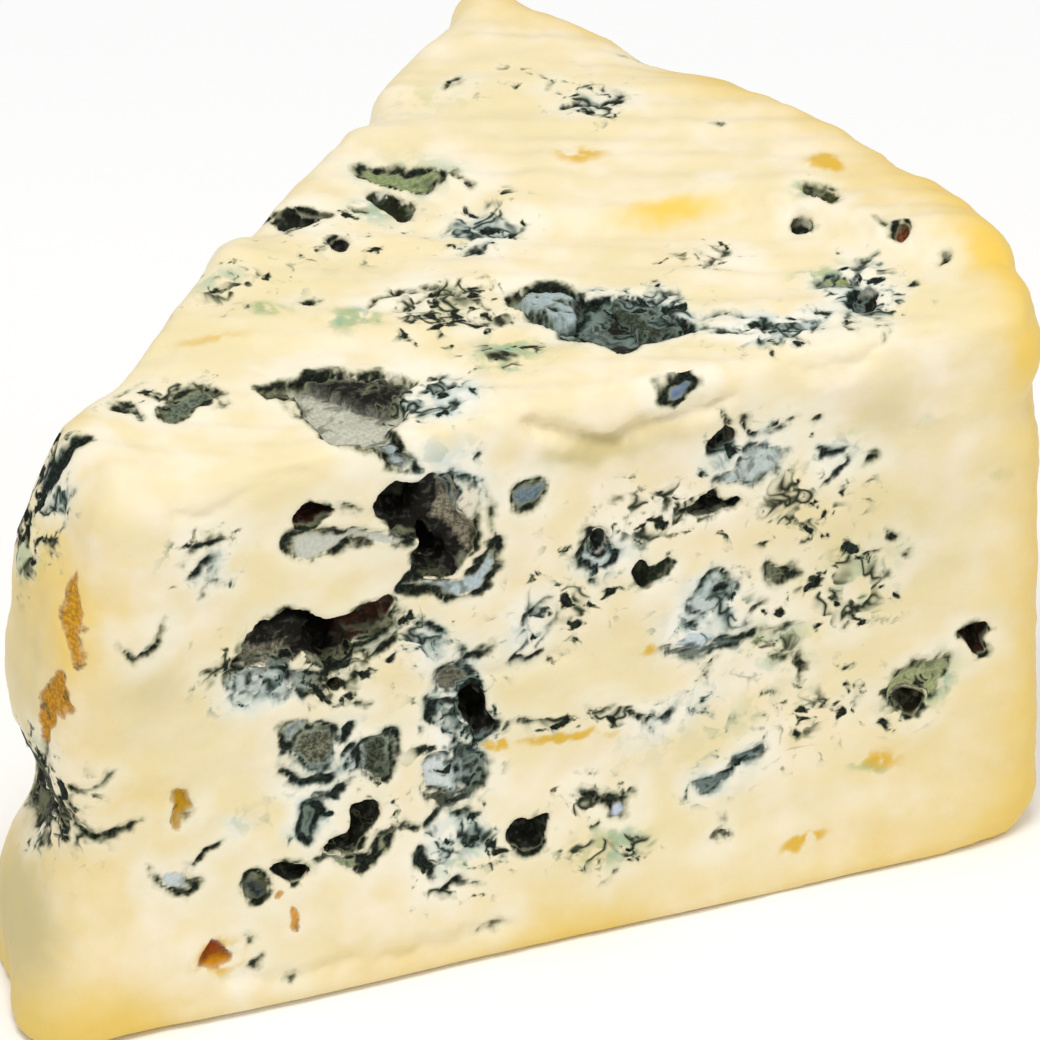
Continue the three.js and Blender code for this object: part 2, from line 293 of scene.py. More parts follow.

# The face, the depth, the colour of the velvet, and the outline of the mouth. The near-black velvets of
# the deepest holes are partly dark mould and partly painted shade.
CAVES = {
    "front": [
        (3.2, "#A89E86", [(50, 71), (51, 73), (53, 74), (56, 73.5), (59.5, 74), (60.5, 71), (61, 68),
            (62.5, 66.5), (63.5, 63.5), (62, 61), (61, 59), (58, 59), (55.5, 60.5), (55, 63),
            (56, 64.5), (55, 65.5), (53, 67), (51, 69)]),
        # This hole and the next are near black: painted shade over dark mould in the pocket's deepest parts
        (11, "#17120D", [(50.5, 70.5), (51, 72.5), (53, 73.5), (56, 73), (56.5, 70), (55.5, 67.5),
            (53, 67.5), (51.5, 69)]),
        (9, "#17120D", [(55.5, 61), (55.5, 63), (56.5, 64.5), (58.5, 63.5), (59.5, 61.5), (60.5, 60),
            (58.5, 59)]),
        (4, "#4A2716", [(39.5, 70), (40, 71.5), (41.5, 73), (44, 72), (45.5, 71), (43.5, 70.5),
            (42.5, 69.5), (41, 70)]),
        (3, "#968E7A", [(31, 51), (33, 54.5), (36, 57), (39.5, 57.5), (44.5, 55.5), (48.5, 56.5),
            (52, 57), (51.5, 53.5), (49, 52), (46.5, 52), (46, 50), (44, 47.5), (42.5, 49), (40.5, 51),
            (38, 49.5), (34.5, 51)]),
        # This hole and the next are near black: painted shade over dark mould in the pocket's deepest parts
        (11, "#14100C", [(35, 55.5), (37, 57), (41, 57), (44.5, 55.5), (48, 56), (48.5, 54), (46, 53),
            (43, 53.5), (39, 55), (37, 54.5)]),
        (8, "#1C120C", [(41.5, 51.5), (42.5, 53.5), (45, 53.5), (46.5, 51.5), (45.5, 50), (44, 48),
            (43, 49)]),
        (4, "#4E2A18", [(46.5, 53), (48, 56.5), (52, 57), (51.5, 54), (49.5, 52.5)]),
        (4, "#20140F", [(43.5, 46), (45, 46.5), (45.5, 45), (45, 44), (44, 44.5)]),
        (8, "#38352A", [(61, 40.5), (63.5, 41), (65, 37.5), (66, 34), (64, 32.5), (62.5, 35),
            (61, 37.5)]),
        (4, "#3A2415", [(95, 71.5), (97, 73), (98, 72), (98, 70.5), (96, 69.5), (95, 70)]),
        (4, "#1D241C", [(92, 61), (93.5, 63), (95.5, 64), (96.5, 62), (99, 62), (99.5, 61), (97, 60.5),
            (95, 60.5), (93.5, 60)]),
        (4.5, "#3A3218", [(121, 26), (123, 26.5), (125.5, 25), (124.5, 23), (123.5, 21.5),
            (122.5, 23.5)]),
        (5, "#402818", [(130, 34), (134, 34.5), (133.5, 32), (134, 30.5), (133, 29.5), (131.5, 31.5)]),
        (4, "#1B2214", [(67, 17.5), (68.5, 19), (70.5, 19), (73, 19.5), (72.5, 17), (71.5, 15),
            (70, 14)]),
        (5, "#24261A", [(46, 27), (48.5, 27), (50, 25.5), (48.5, 23.5), (47.5, 21.5), (46, 19.5),
            (44, 21), (42.5, 21), (44, 23), (46, 23), (46, 25.5)]),
        (4, "#22261A", [(35, 20), (36.5, 21), (38.5, 20), (40, 19.5), (39, 18), (37.5, 17.5),
            (36.5, 18.5)]),
        (2.5, "#27361F", [(84, 54), (85.5, 55.5), (86.5, 55), (87.5, 54), (89.5, 55), (89.5, 53.5),
            (88, 52), (87, 51.5), (86, 50.5), (85, 52.5)]),
        (3, "#1C201A", [(78.5, 59.5), (79.5, 61.5), (81, 60.5), (81, 58.5), (80, 57.5), (79, 58.5)]),
    ],
    "top": [
        (2.5, "#2A3618", [(68.5, 56.5), (71.5, 56), (73.5, 51.5), (70.5, 48.5), (69.5, 52)]),
        (2.5, "#20281C", [(55, 55.5), (57.5, 57), (61, 54), (65, 53.5), (60.5, 52), (56.5, 51.5)]),
        (2, "#1C2218", [(59.5, 46.5), (61.5, 47.5), (62.5, 46), (61, 44)]),
        (1.5, "#171C14", [(85, 24), (87, 22), (88.5, 16), (88, 10), (86, 10.5), (84.5, 16), (84, 20)]),
        (3, "#14180E", [(117.5, 9), (118.5, 11), (121, 13), (122.5, 12), (121.5, 10), (120, 8)]),
        (1.5, "#565A2E", [(121.5, 37), (123, 36), (124.5, 32.5), (123.5, 30), (122, 31.5), (121, 34)]),
        (2, "#1C2016", [(117.5, 29.5), (118.5, 31), (119.5, 30), (120, 28.5), (118.5, 28.5)]),
        (1.5, "#7A3E14", [(127.5, 20), (129, 21.5), (130, 20.5), (129.5, 19), (128, 19)]),
    ],
    "tip": [
        (2.5, "#2A2C20", [(20, 34), (14, 35), (9, 34), (5, 32), (9, 29), (15, 28), (20, 28)]),
    ],
}

# Further holes on the hidden back cut, by a rule
BACK_CAVES = 9
BACK_SEED = 29

# The noise that gives directions starts from the clock unless it is seeded
noise.seed_set(BACK_SEED)

# How wide a cave is at each share of its depth. A share below 0 is millimetres above the mouth.
CAVE_WIDTHS = [(-2.5, 1.04), (-0.2, 1), (0.2, 1.06), (0.45, 1.06), (0.7, 0.9), (0.88, 0.62), (1, 0.3)]


def srgb(code):
    """A hex colour as linear red, green and blue."""
    value = np.array([int(code[i : i + 2], 16) / 255 for i in (1, 3, 5)])
    return np.where(value <= 0.04045, value / 12.92, ((value + 0.055) / 1.055) ** 2.4)


def seeded(seed):
    """The same run of random numbers each time."""
    state = seed
    while True:
        state += 0x6D2B79F5
        t = state & 0xFFFFFFFF
        t = (t ^ t >> 15) * (t | 1) & 0xFFFFFFFF
        t ^= t + ((t ^ t >> 7) * (t | 61) & 0xFFFFFFFF) & 0xFFFFFFFF
        yield ((t ^ t >> 14) & 0xFFFFFFFF) / 4294967296


def ragged_round(draw, along, up, width, height):
    """A lumpy closed outline about a place."""
    outline = []
    for k in range(9):
        far = 0.38 + 0.24 * next(draw)
        angle = 2 * math.pi * k / 9
        outline.append((along + far * width * math.cos(angle), up + far * height * math.sin(angle)))
    return outline


def in_rows(table):
    """The rows of a table of each face's features, with the face put first."""
    return [(face, *row) for face, rows in table.items() for row in rows]


def back_caves():
    """Holes on the back cut. All draws are in the solid's own order, so they fall where its holes are."""
    draw = seeded(BACK_SEED)
    next(draw)
    tones = ["#8C8472", "#4A3426", "#24261A"]
    made = []
    for i in range(BACK_CAVES):
        along = 34 + (i + next(draw)) * 92 / BACK_CAVES
        up = 18 + 50 * next(draw)
        width = 4 + 9 * next(draw) * next(draw)
        height = width * (0.45 + 0.4 * next(draw))
        next(draw)
        made.append(("back", 3 + width * 0.4, tones[i % 3], ragged_round(draw, along, up, width, height)))
    return made


def on_skin(face, along, up):
    """The place on the slumped skin under that place of a face, or the nearest to it past an edge."""
    corner, x_way, y_way, out = np.array(FACES[face], float)
    flat = corner + along * x_way + up * y_way
    place, *_ = skin.ray_cast(Vector(flat + 20 * out), Vector(-out), 36)
    if place is None:
        place, *_ = skin.find_nearest(Vector(flat))
    return np.array(place)


def closed_curve(outline, each=5):
    """A smooth closed curve through the corners of an outline."""
    count = len(outline)
    wrapped = [outline[k % count] for k in range(-1, count + 2)]
    curve = curve_through(wrapped, (count + 2) * each + 1)
    return curve[each : -each - 1]


def cave_cutter(face, depth, outline):
    """A closed plug with the outline's shape that widens below the mouth and narrows to its bottom."""
    _, x_way, y_way, out = np.array(FACES[face], float)
    curve = closed_curve(outline)
    centre = curve.mean(axis=0)
    narrow = min(np.ptp(curve, axis=0))
    jag = [noise.noise_vector(Vector((x * 0.9, y * 0.9, 3)))[:2] for x, y in curve]
    curve = curve + np.array(jag) * min(0.8, narrow / 8)
    seat = np.array([on_skin(face, *corner) for corner in curve])
    middle = on_skin(face, *centre) @ out
    flat = seat @ out - middle
    rings = []
    for down, scale in CAVE_WIDTHS:
        ring = centre + (curve - centre) * scale
        ring[:, 1] += 0.12 * depth * max(down, 0)
        low = middle + flat * (1 - max(down, 0)) - (down * depth if down > 0 else down)
        lumps = [noise.noise(Vector((x * 0.5, y * 0.5, down * 3))) for x, y in ring]
        low = low + np.array(lumps) * min(1.2, narrow / 4) * (down > 0)
        push = [noise.noise(Vector((x * 0.6, y * 0.6, down * 2 + 9))) for x, y in ring]
        ring = ring + (ring - centre) * 0.25 * np.array(push)[:, None] * (down > 0)
        rings.append(ring[:, :1] * x_way + ring[:, 1:] * y_way + low[:, None] * out)
    turns = len(curve)
    corners = np.concatenate(rings + [rings[0].mean(axis=0)[None], rings[-1].mean(axis=0)[None]])
    made = bpy.data.meshes.new("cave")
    faces = []
    for level in range(len(rings) - 1):
        for k in range(turns):
            a, b = level * turns + k, level * turns + (k + 1) % turns
            faces.append((a, b, b + turns, a + turns))
    last = (len(rings) - 1) * turns
    for k in range(turns):
        faces.append(((k + 1) % turns, k, len(corners) - 2))
        faces.append((last + k, last + (k + 1) % turns, len(corners) - 1))
    made.from_pydata(((corners - MIDDLE) / 1000).tolist(), [], faces)
    shaped = bmesh.new()
    shaped.from_mesh(made)
    bmesh.ops.recalc_face_normals(shaped, faces=shaped.faces)
    shaped.to_mesh(made)
    shaped.free()
    return bpy.data.objects.new("cave", made)


caves = in_rows(CAVES) + back_caves()
cutters = bpy.data.collections.new("cave_cutters")
bpy.context.scene.collection.children.link(cutters)
for face, depth, tone, outline in caves:
    cutters.objects.link(cave_cutter(face, depth, outline))

# The voxels of the opened wedge are half a millimetre, the size of its finest holes
VOXEL = 0.55
cut = wedge.modifiers.new("open the caves", "BOOLEAN")
cut.operation = "DIFFERENCE"
cut.operand_type = "COLLECTION"
cut.collection = cutters
cut.solver = "MANIFOLD"
even = wedge.modifiers.new("even surface", "REMESH")
even.mode = "VOXEL"
even.voxel_size = VOXEL / 1000
soften = wedge.modifiers.new("soften", "SMOOTH")
soften.factor = 0.5
soften.iterations = 2
graph = bpy.context.evaluated_depsgraph_get()
opened = bpy.data.meshes.new_from_object(wedge.evaluated_get(graph))
wedge.modifiers.clear()
old = wedge.data
wedge.data = opened
bpy.data.meshes.remove(old)
for cutter in list(cutters.objects):
    bpy.data.objects.remove(cutter)
bpy.data.collections.remove(cutters)

count = len(opened.vertices)
flat = np.empty(count * 3)
opened.vertices.foreach_get("co", flat)
points = flat.reshape(-1, 3) * 1000 + MIDDLE
flat = np.empty(count * 3)
opened.vertex_normals.foreach_get("vector", flat)
normals = flat.reshape(-1, 3)
listed = points.tolist()
depth = np.array([skin.find_nearest(p)[3] for p in listed])

# The mould that runs through the paste where needles and cracks let in air. It shows on each cut as
# curly blue-black lines with soft blue edges, and as slate, white or green patches ringed by them.
WIDE_WARP = 0.9
FINE_WARP = 0.6
PATCH_DEPTH = 5
FAR_AWAY = 8.0
WALL_DEPTH = 0.35
FAN_RAYS = 14

# Creases where soft paste was rolled over or pressed: the face, depth, width and line
CREASES = {
    "front": [
        (1.8, 1.3, [(71, 79), (74.5, 77), (77.5, 75.5), (81.5, 74.5), (85, 76), (90.5, 76.5),
            (96, 77.5)]),
        (0.8, 1.2, [(106.5, 80), (110, 78.5), (114, 79), (117, 80.5)]),
        (0.5, 1.1, [(24, 76), (29, 75), (35, 77), (41, 77.5)]),
        (0.6, 1, [(64, 43.5), (70, 42.5), (75, 43.5)]),
        (0.8, 1.4, [(50, 4.5), (58, 4), (66, 5)]),
        (0.7, 1.2, [(28, 6.5), (36, 4.5), (45, 5)]),
    ],
}

# Patches of mould or of bared curd: the face, the colour, how grainy it is, the width of its dark
# outline, how far it is sunk, and its outline
PATCHES = {
    "front": [
        ("#E4DCC4", 0.05, 0.5, -0.3, [(60, 74), (61.5, 73.5), (63.5, 71), (63.5, 67.5), (62, 67),
            (60.5, 70)]),
        ("#BAC8CA", 0.15, 1.2, 0.5, [(66.5, 62.5), (66, 59), (64, 56), (60, 55.5), (56, 57.5),
            (53.5, 58), (55, 60), (57.5, 59), (61, 58), (63.5, 59.5), (65, 62.5)]),
        ("#C9C9BA", 0.1, 0.8, 0.4, [(39, 68), (40, 69.5), (44, 68.5), (48, 68), (52, 67), (55, 65),
            (51, 65.5), (46.5, 66.5), (44, 65.5), (41, 65), (39.5, 66.5)]),
        ("#C9CEC6", 0.1, 0.7, 0.2, [(30, 50.5), (32, 51), (34.5, 51), (38, 49.5), (38.5, 46),
            (36.5, 45.5), (33.5, 47), (30.5, 48)]),
        ("#9AA096", 0.3, 0.8, 0.4, [(39, 49), (41, 48), (42, 47), (43, 45), (41.5, 44.5),
            (39.5, 45.5)]),
        ("#CFCEBC", 0.1, 0.9, 0.2, [(46, 50), (47, 51), (49, 51.5), (51.5, 52.5), (52.5, 55),
            (53.5, 53), (51.5, 50.5), (49.5, 49.5), (47.5, 50)]),
        ("#77735F", 0.6, 0.6, 0.8, [(58, 44), (60, 45), (63, 43), (64, 41), (61, 41), (58.5, 41.5)]),
        ("#DEDFC6", 0, 0.9, -0.2, [(60.5, 34), (61.5, 35.5), (63, 34.5), (63.5, 32.5), (62.5, 31.5),
            (61, 32.5)]),
        ("#C9CCBE", 0.1, 0.8, 0.2, [(57.5, 39), (59.5, 40), (61, 38), (61, 35.5), (59.5, 35),
            (57.5, 36.5)]),
        ("#39473B", 0.8, 0.5, 0.6, [(60, 32), (63.5, 31.5), (65, 29.5), (64, 26.5), (62, 25.5),
            (60.5, 29)]),
        ("#D2D9D6", 0.1, 0.4, 0, [(55.5, 30.5), (57.5, 31.5), (59.5, 30.5), (60.5, 28), (60, 25.5),
            (57, 27.5)]),
        ("#0C1414", 0.3, 0.4, 0.6, [(55.5, 28), (56.5, 26.5), (60, 25.5), (62.5, 27), (64, 28.5),
            (64, 25.5), (61.5, 24.5), (58.5, 23.5), (56.5, 25.5)]),
        ("#7A7B62", 0.7, 0.7, 0.3, [(39.5, 39.5), (41.5, 40.5), (43.5, 39.5), (44, 37), (44, 34.5),
            (42, 33.5), (40, 34.5), (38.5, 37)]),
        ("#B4C0C6", 0.2, 0.5, 0.2, [(37, 38.5), (37.5, 40.5), (39.5, 41.5), (41, 41), (39.5, 40),
            (38, 38), (37.5, 36.5)]),
        ("#49523C", 0.8, 1.4, 0.5, [(47.5, 32.5), (48, 35.5), (50, 36.5), (51.5, 35.5), (52, 32.5),
            (51, 30.5), (49, 30.5)]),
        ("#D6DBD4", 0.1, 0.7, 0, [(45.5, 34.5), (46.5, 36), (47.5, 35.5), (48, 33.5), (46.5, 32.5),
            (45.5, 33)]),
        ("#6E808A", 0.3, 0.8, 0.3, [(68, 69), (69, 70.5), (70.5, 70.5), (72.5, 70), (72, 67.5),
            (70.5, 66.5), (69, 67)]),
        ("#C2CCC6", 0.15, 0.3, 0, [(96, 65.5), (99, 67.5), (100, 70), (103, 68.5), (104.5, 67.5),
            (102, 64), (99, 64.5)]),
        ("#C4CDC6", 0.1, 0.8, 0.3, [(76.5, 58), (77, 59.5), (78.5, 61), (80, 61.5), (81, 60), (82, 58),
            (81.5, 56.5), (80, 56), (78, 57)]),
        ("#1C2B26", 0.5, 0.4, 0.6, [(103, 51.5), (104.5, 50), (106, 50), (107, 50), (107, 48.5),
            (106, 48), (104.5, 48), (103, 48.5)]),
        ("#64799A", 0.2, 1.5, 0.3, [(88, 79.5), (89, 81), (91, 81.5), (93, 81), (92.5, 79.5),
            (90.5, 79)]),
        ("#CAD2CC", 0.1, 0.5, 0, [(92.5, 46.5), (92, 48), (93.5, 49.5), (94.5, 51), (96, 51.5),
            (98, 50), (99, 48.5), (97, 47), (95.5, 45.5), (93.5, 45.5)]),
        ("#CCD8DC", 0.1, 0, 0, [(90.5, 41.5), (92, 43.5), (94, 43), (96.5, 41.5), (95, 40.5),
            (92.5, 40)]),
        ("#0C1414", 0.3, 0.5, 0.6, [(88.5, 41.5), (89.5, 42), (90, 40.5), (92.5, 40), (95.5, 40),
            (98, 41), (99, 40), (96, 39), (94, 38.5), (91, 39), (89, 40)]),
        ("#A7AE7A", 0.3, 0.5, 0.7, [(120, 26), (120.5, 29), (122.5, 30.5), (125, 31), (128.5, 30.5),
            (128.5, 29), (127, 26.5), (125.5, 25), (124.5, 22.5), (122, 24)]),
        ("#18262C", 0.5, 0.3, 0.4, [(98.5, 22), (100, 22.5), (102.5, 23), (102.5, 21.5), (100, 21),
            (99, 21)]),
        ("#18262C", 0.5, 0.3, 0.4, [(93, 19.5), (95.5, 19.5), (98.5, 20), (98.5, 18.5), (96.5, 18),
            (95.5, 17), (93.5, 18)]),
        ("#C3CDE0", 0, 0.7, 0, [(81.5, 18.5), (82, 19.5), (83, 19.5), (83.5, 18), (82.5, 17),
            (81.5, 17.5)]),
        ("#22220F", 0.5, 0.3, 0.3, [(95.5, 10.5), (97, 11.5), (98, 10)]),
        ("#8A9470", 0.3, 1, 0.3, [(42.5, 21), (45.5, 20), (48, 19), (49, 21), (51.5, 22.5), (50, 20),
            (47.5, 18), (44.5, 18.5)]),
        ("#4A523A", 0.5, 1.2, 0.6, [(39, 24), (39.5, 27.5), (41, 28.5), (42.5, 27.5), (41.5, 25.5),
            (40, 23.5)]),
        ("#1C2A30", 0.6, 1, 0.5, [(31.5, 17), (31.5, 19), (32.5, 20.5), (34, 20), (34.5, 18),
            (34, 16.5), (32.5, 16)]),
        ("#D09000", 0.1, 0, 0.3, [(35.5, 17.5), (37, 17.5), (36.5, 16), (35.5, 16)]),
        ("#D89200", 0.1, 0, 0.3, [(36.5, 14), (38, 14), (37.5, 11), (36.5, 12)]),
        ("#C0910A", 0.1, 0, 0.8, [(22, 34.5), (24, 35), (25.5, 32.5), (24.5, 32), (25, 31),
            (23.5, 30.5), (23, 28.5), (22, 30), (22.5, 31.5)]),
        ("#CF8C0C", 0.1, 0, 0.9, [(24, 9.5), (27, 11), (29.5, 9), (27.5, 8), (25.5, 8)]),
        ("#8F3F00", 0.15, 0, 0.7, [(24, 10), (26, 11.5), (26.5, 12.5), (28, 11), (29.5, 9.5),
            (27.5, 9.5), (25.5, 9.5)]),
        ("#C6D0D0", 0.1, 0, 0, [(20, 22.5), (22, 23), (24, 22), (24.5, 20.5), (22, 20.5)]),
    ],
    "brow": [
        ("#C6C5B2", 0.2, 0.8, 1.8, [(41, 11.5), (43.5, 11), (47, 12.5), (52.5, 11), (57.5, 9.5),
            (59.5, 8), (58, 6.5), (55.5, 2.5), (53, 0), (55.5, -3.5), (54.5, -4.5), (51.5, -2.5),
            (49.5, -0.5), (45.5, 1.5), (44.5, 4), (44, 7.5), (42.5, 9.5)]),
        ("#14110A", 0.5, 0, 0.6, [(46, 11.5), (49, 12), (52.5, 11), (57.5, 9), (58.5, 7.5), (56.5, 5.5),
            (53.5, 5.5), (51.5, 7), (48.5, 9.5)]),
        ("#A9B8BC", 0.2, 0, 0.1, [(52.5, -0.5), (54.5, -3), (54, -4), (51.5, -2)]),
        ("#40392B", 0.7, 0.2, 0.3, [(40.5, 12), (42, 11.5), (44.5, 10), (44.5, 8), (42.5, 9),
            (41, 10.5)]),
    ],
    "top": [
        ("#5C6C58", 0.7, 1.1, 1.6, [(77.5, 26.5), (80.5, 28.5), (84.5, 27), (86.5, 24.5), (86.5, 22),
            (89.5, 22.5), (92.5, 21.5), (94.5, 19), (95.5, 15.5), (97, 12), (94, 11), (90, 10),
            (86.5, 8.5), (85, 11), (82.5, 14), (80, 18), (78, 22)]),
        ("#ACBBBC", 0.15, 1.1, -0.2, [(78.5, 25), (80.5, 27.5), (84.5, 26), (86, 23.5), (85.5, 20),
            (83, 17.5), (80.5, 18.5), (79, 22)]),
        ("#3E4A38", 0.7, 0, 0.3, [(89, 20.5), (92.5, 20.5), (94.5, 18), (95.5, 14.5), (95.5, 12),
            (91, 12), (89.5, 14.5)]),
        ("#92A06C", 0.3, 0.6, 0.3, [(69, 62.5), (72, 62), (74, 59.5), (78.5, 55.5), (77, 54.5),
            (72, 57.5), (69.5, 59.5)]),
        ("#989C48", 0.3, 0.2, 0.3, [(115.5, 17), (118, 17), (120, 15), (119, 14), (117, 15)]),
        ("#66735F", 0.6, 1, 0.6, [(27.5, 16.5), (29.5, 18.5), (32, 20), (34, 20.5), (36.5, 19),
            (34.5, 18), (32.5, 16.5), (29.5, 14.5), (28, 14.5)]),
        ("#8E9A86", 0.4, 0.9, 0.3, [(22.5, 20.5), (23.5, 18.5), (25, 16), (24.5, 18.5), (23.5, 20.5)]),
    ],
    "tip": [
        ("#23271D", 0.8, 0.8, 0.5, [(20, 38), (14, 38.5), (8, 38), (5, 36.5), (2, 33), (2.5, 30.5),
            (5, 31), (8, 28), (11, 25), (16, 24), (20, 25)]),
        ("#D69A22", 0.35, 0, 0.3, [(4, 68.5), (3, 66.5), (2, 63), (0.5, 60.5), (0.5, 56.5), (1.5, 55.5),
            (3, 58.5), (5, 63), (5, 66)]),
        ("#CC9020", 0.35, 0, 0.3, [(2.5, 54), (1, 52), (1, 49.5), (3, 47), (4.5, 42), (6, 42),
            (7, 45.5), (6.5, 48.5), (4.5, 52), (3.5, 54)]),
    ],
}

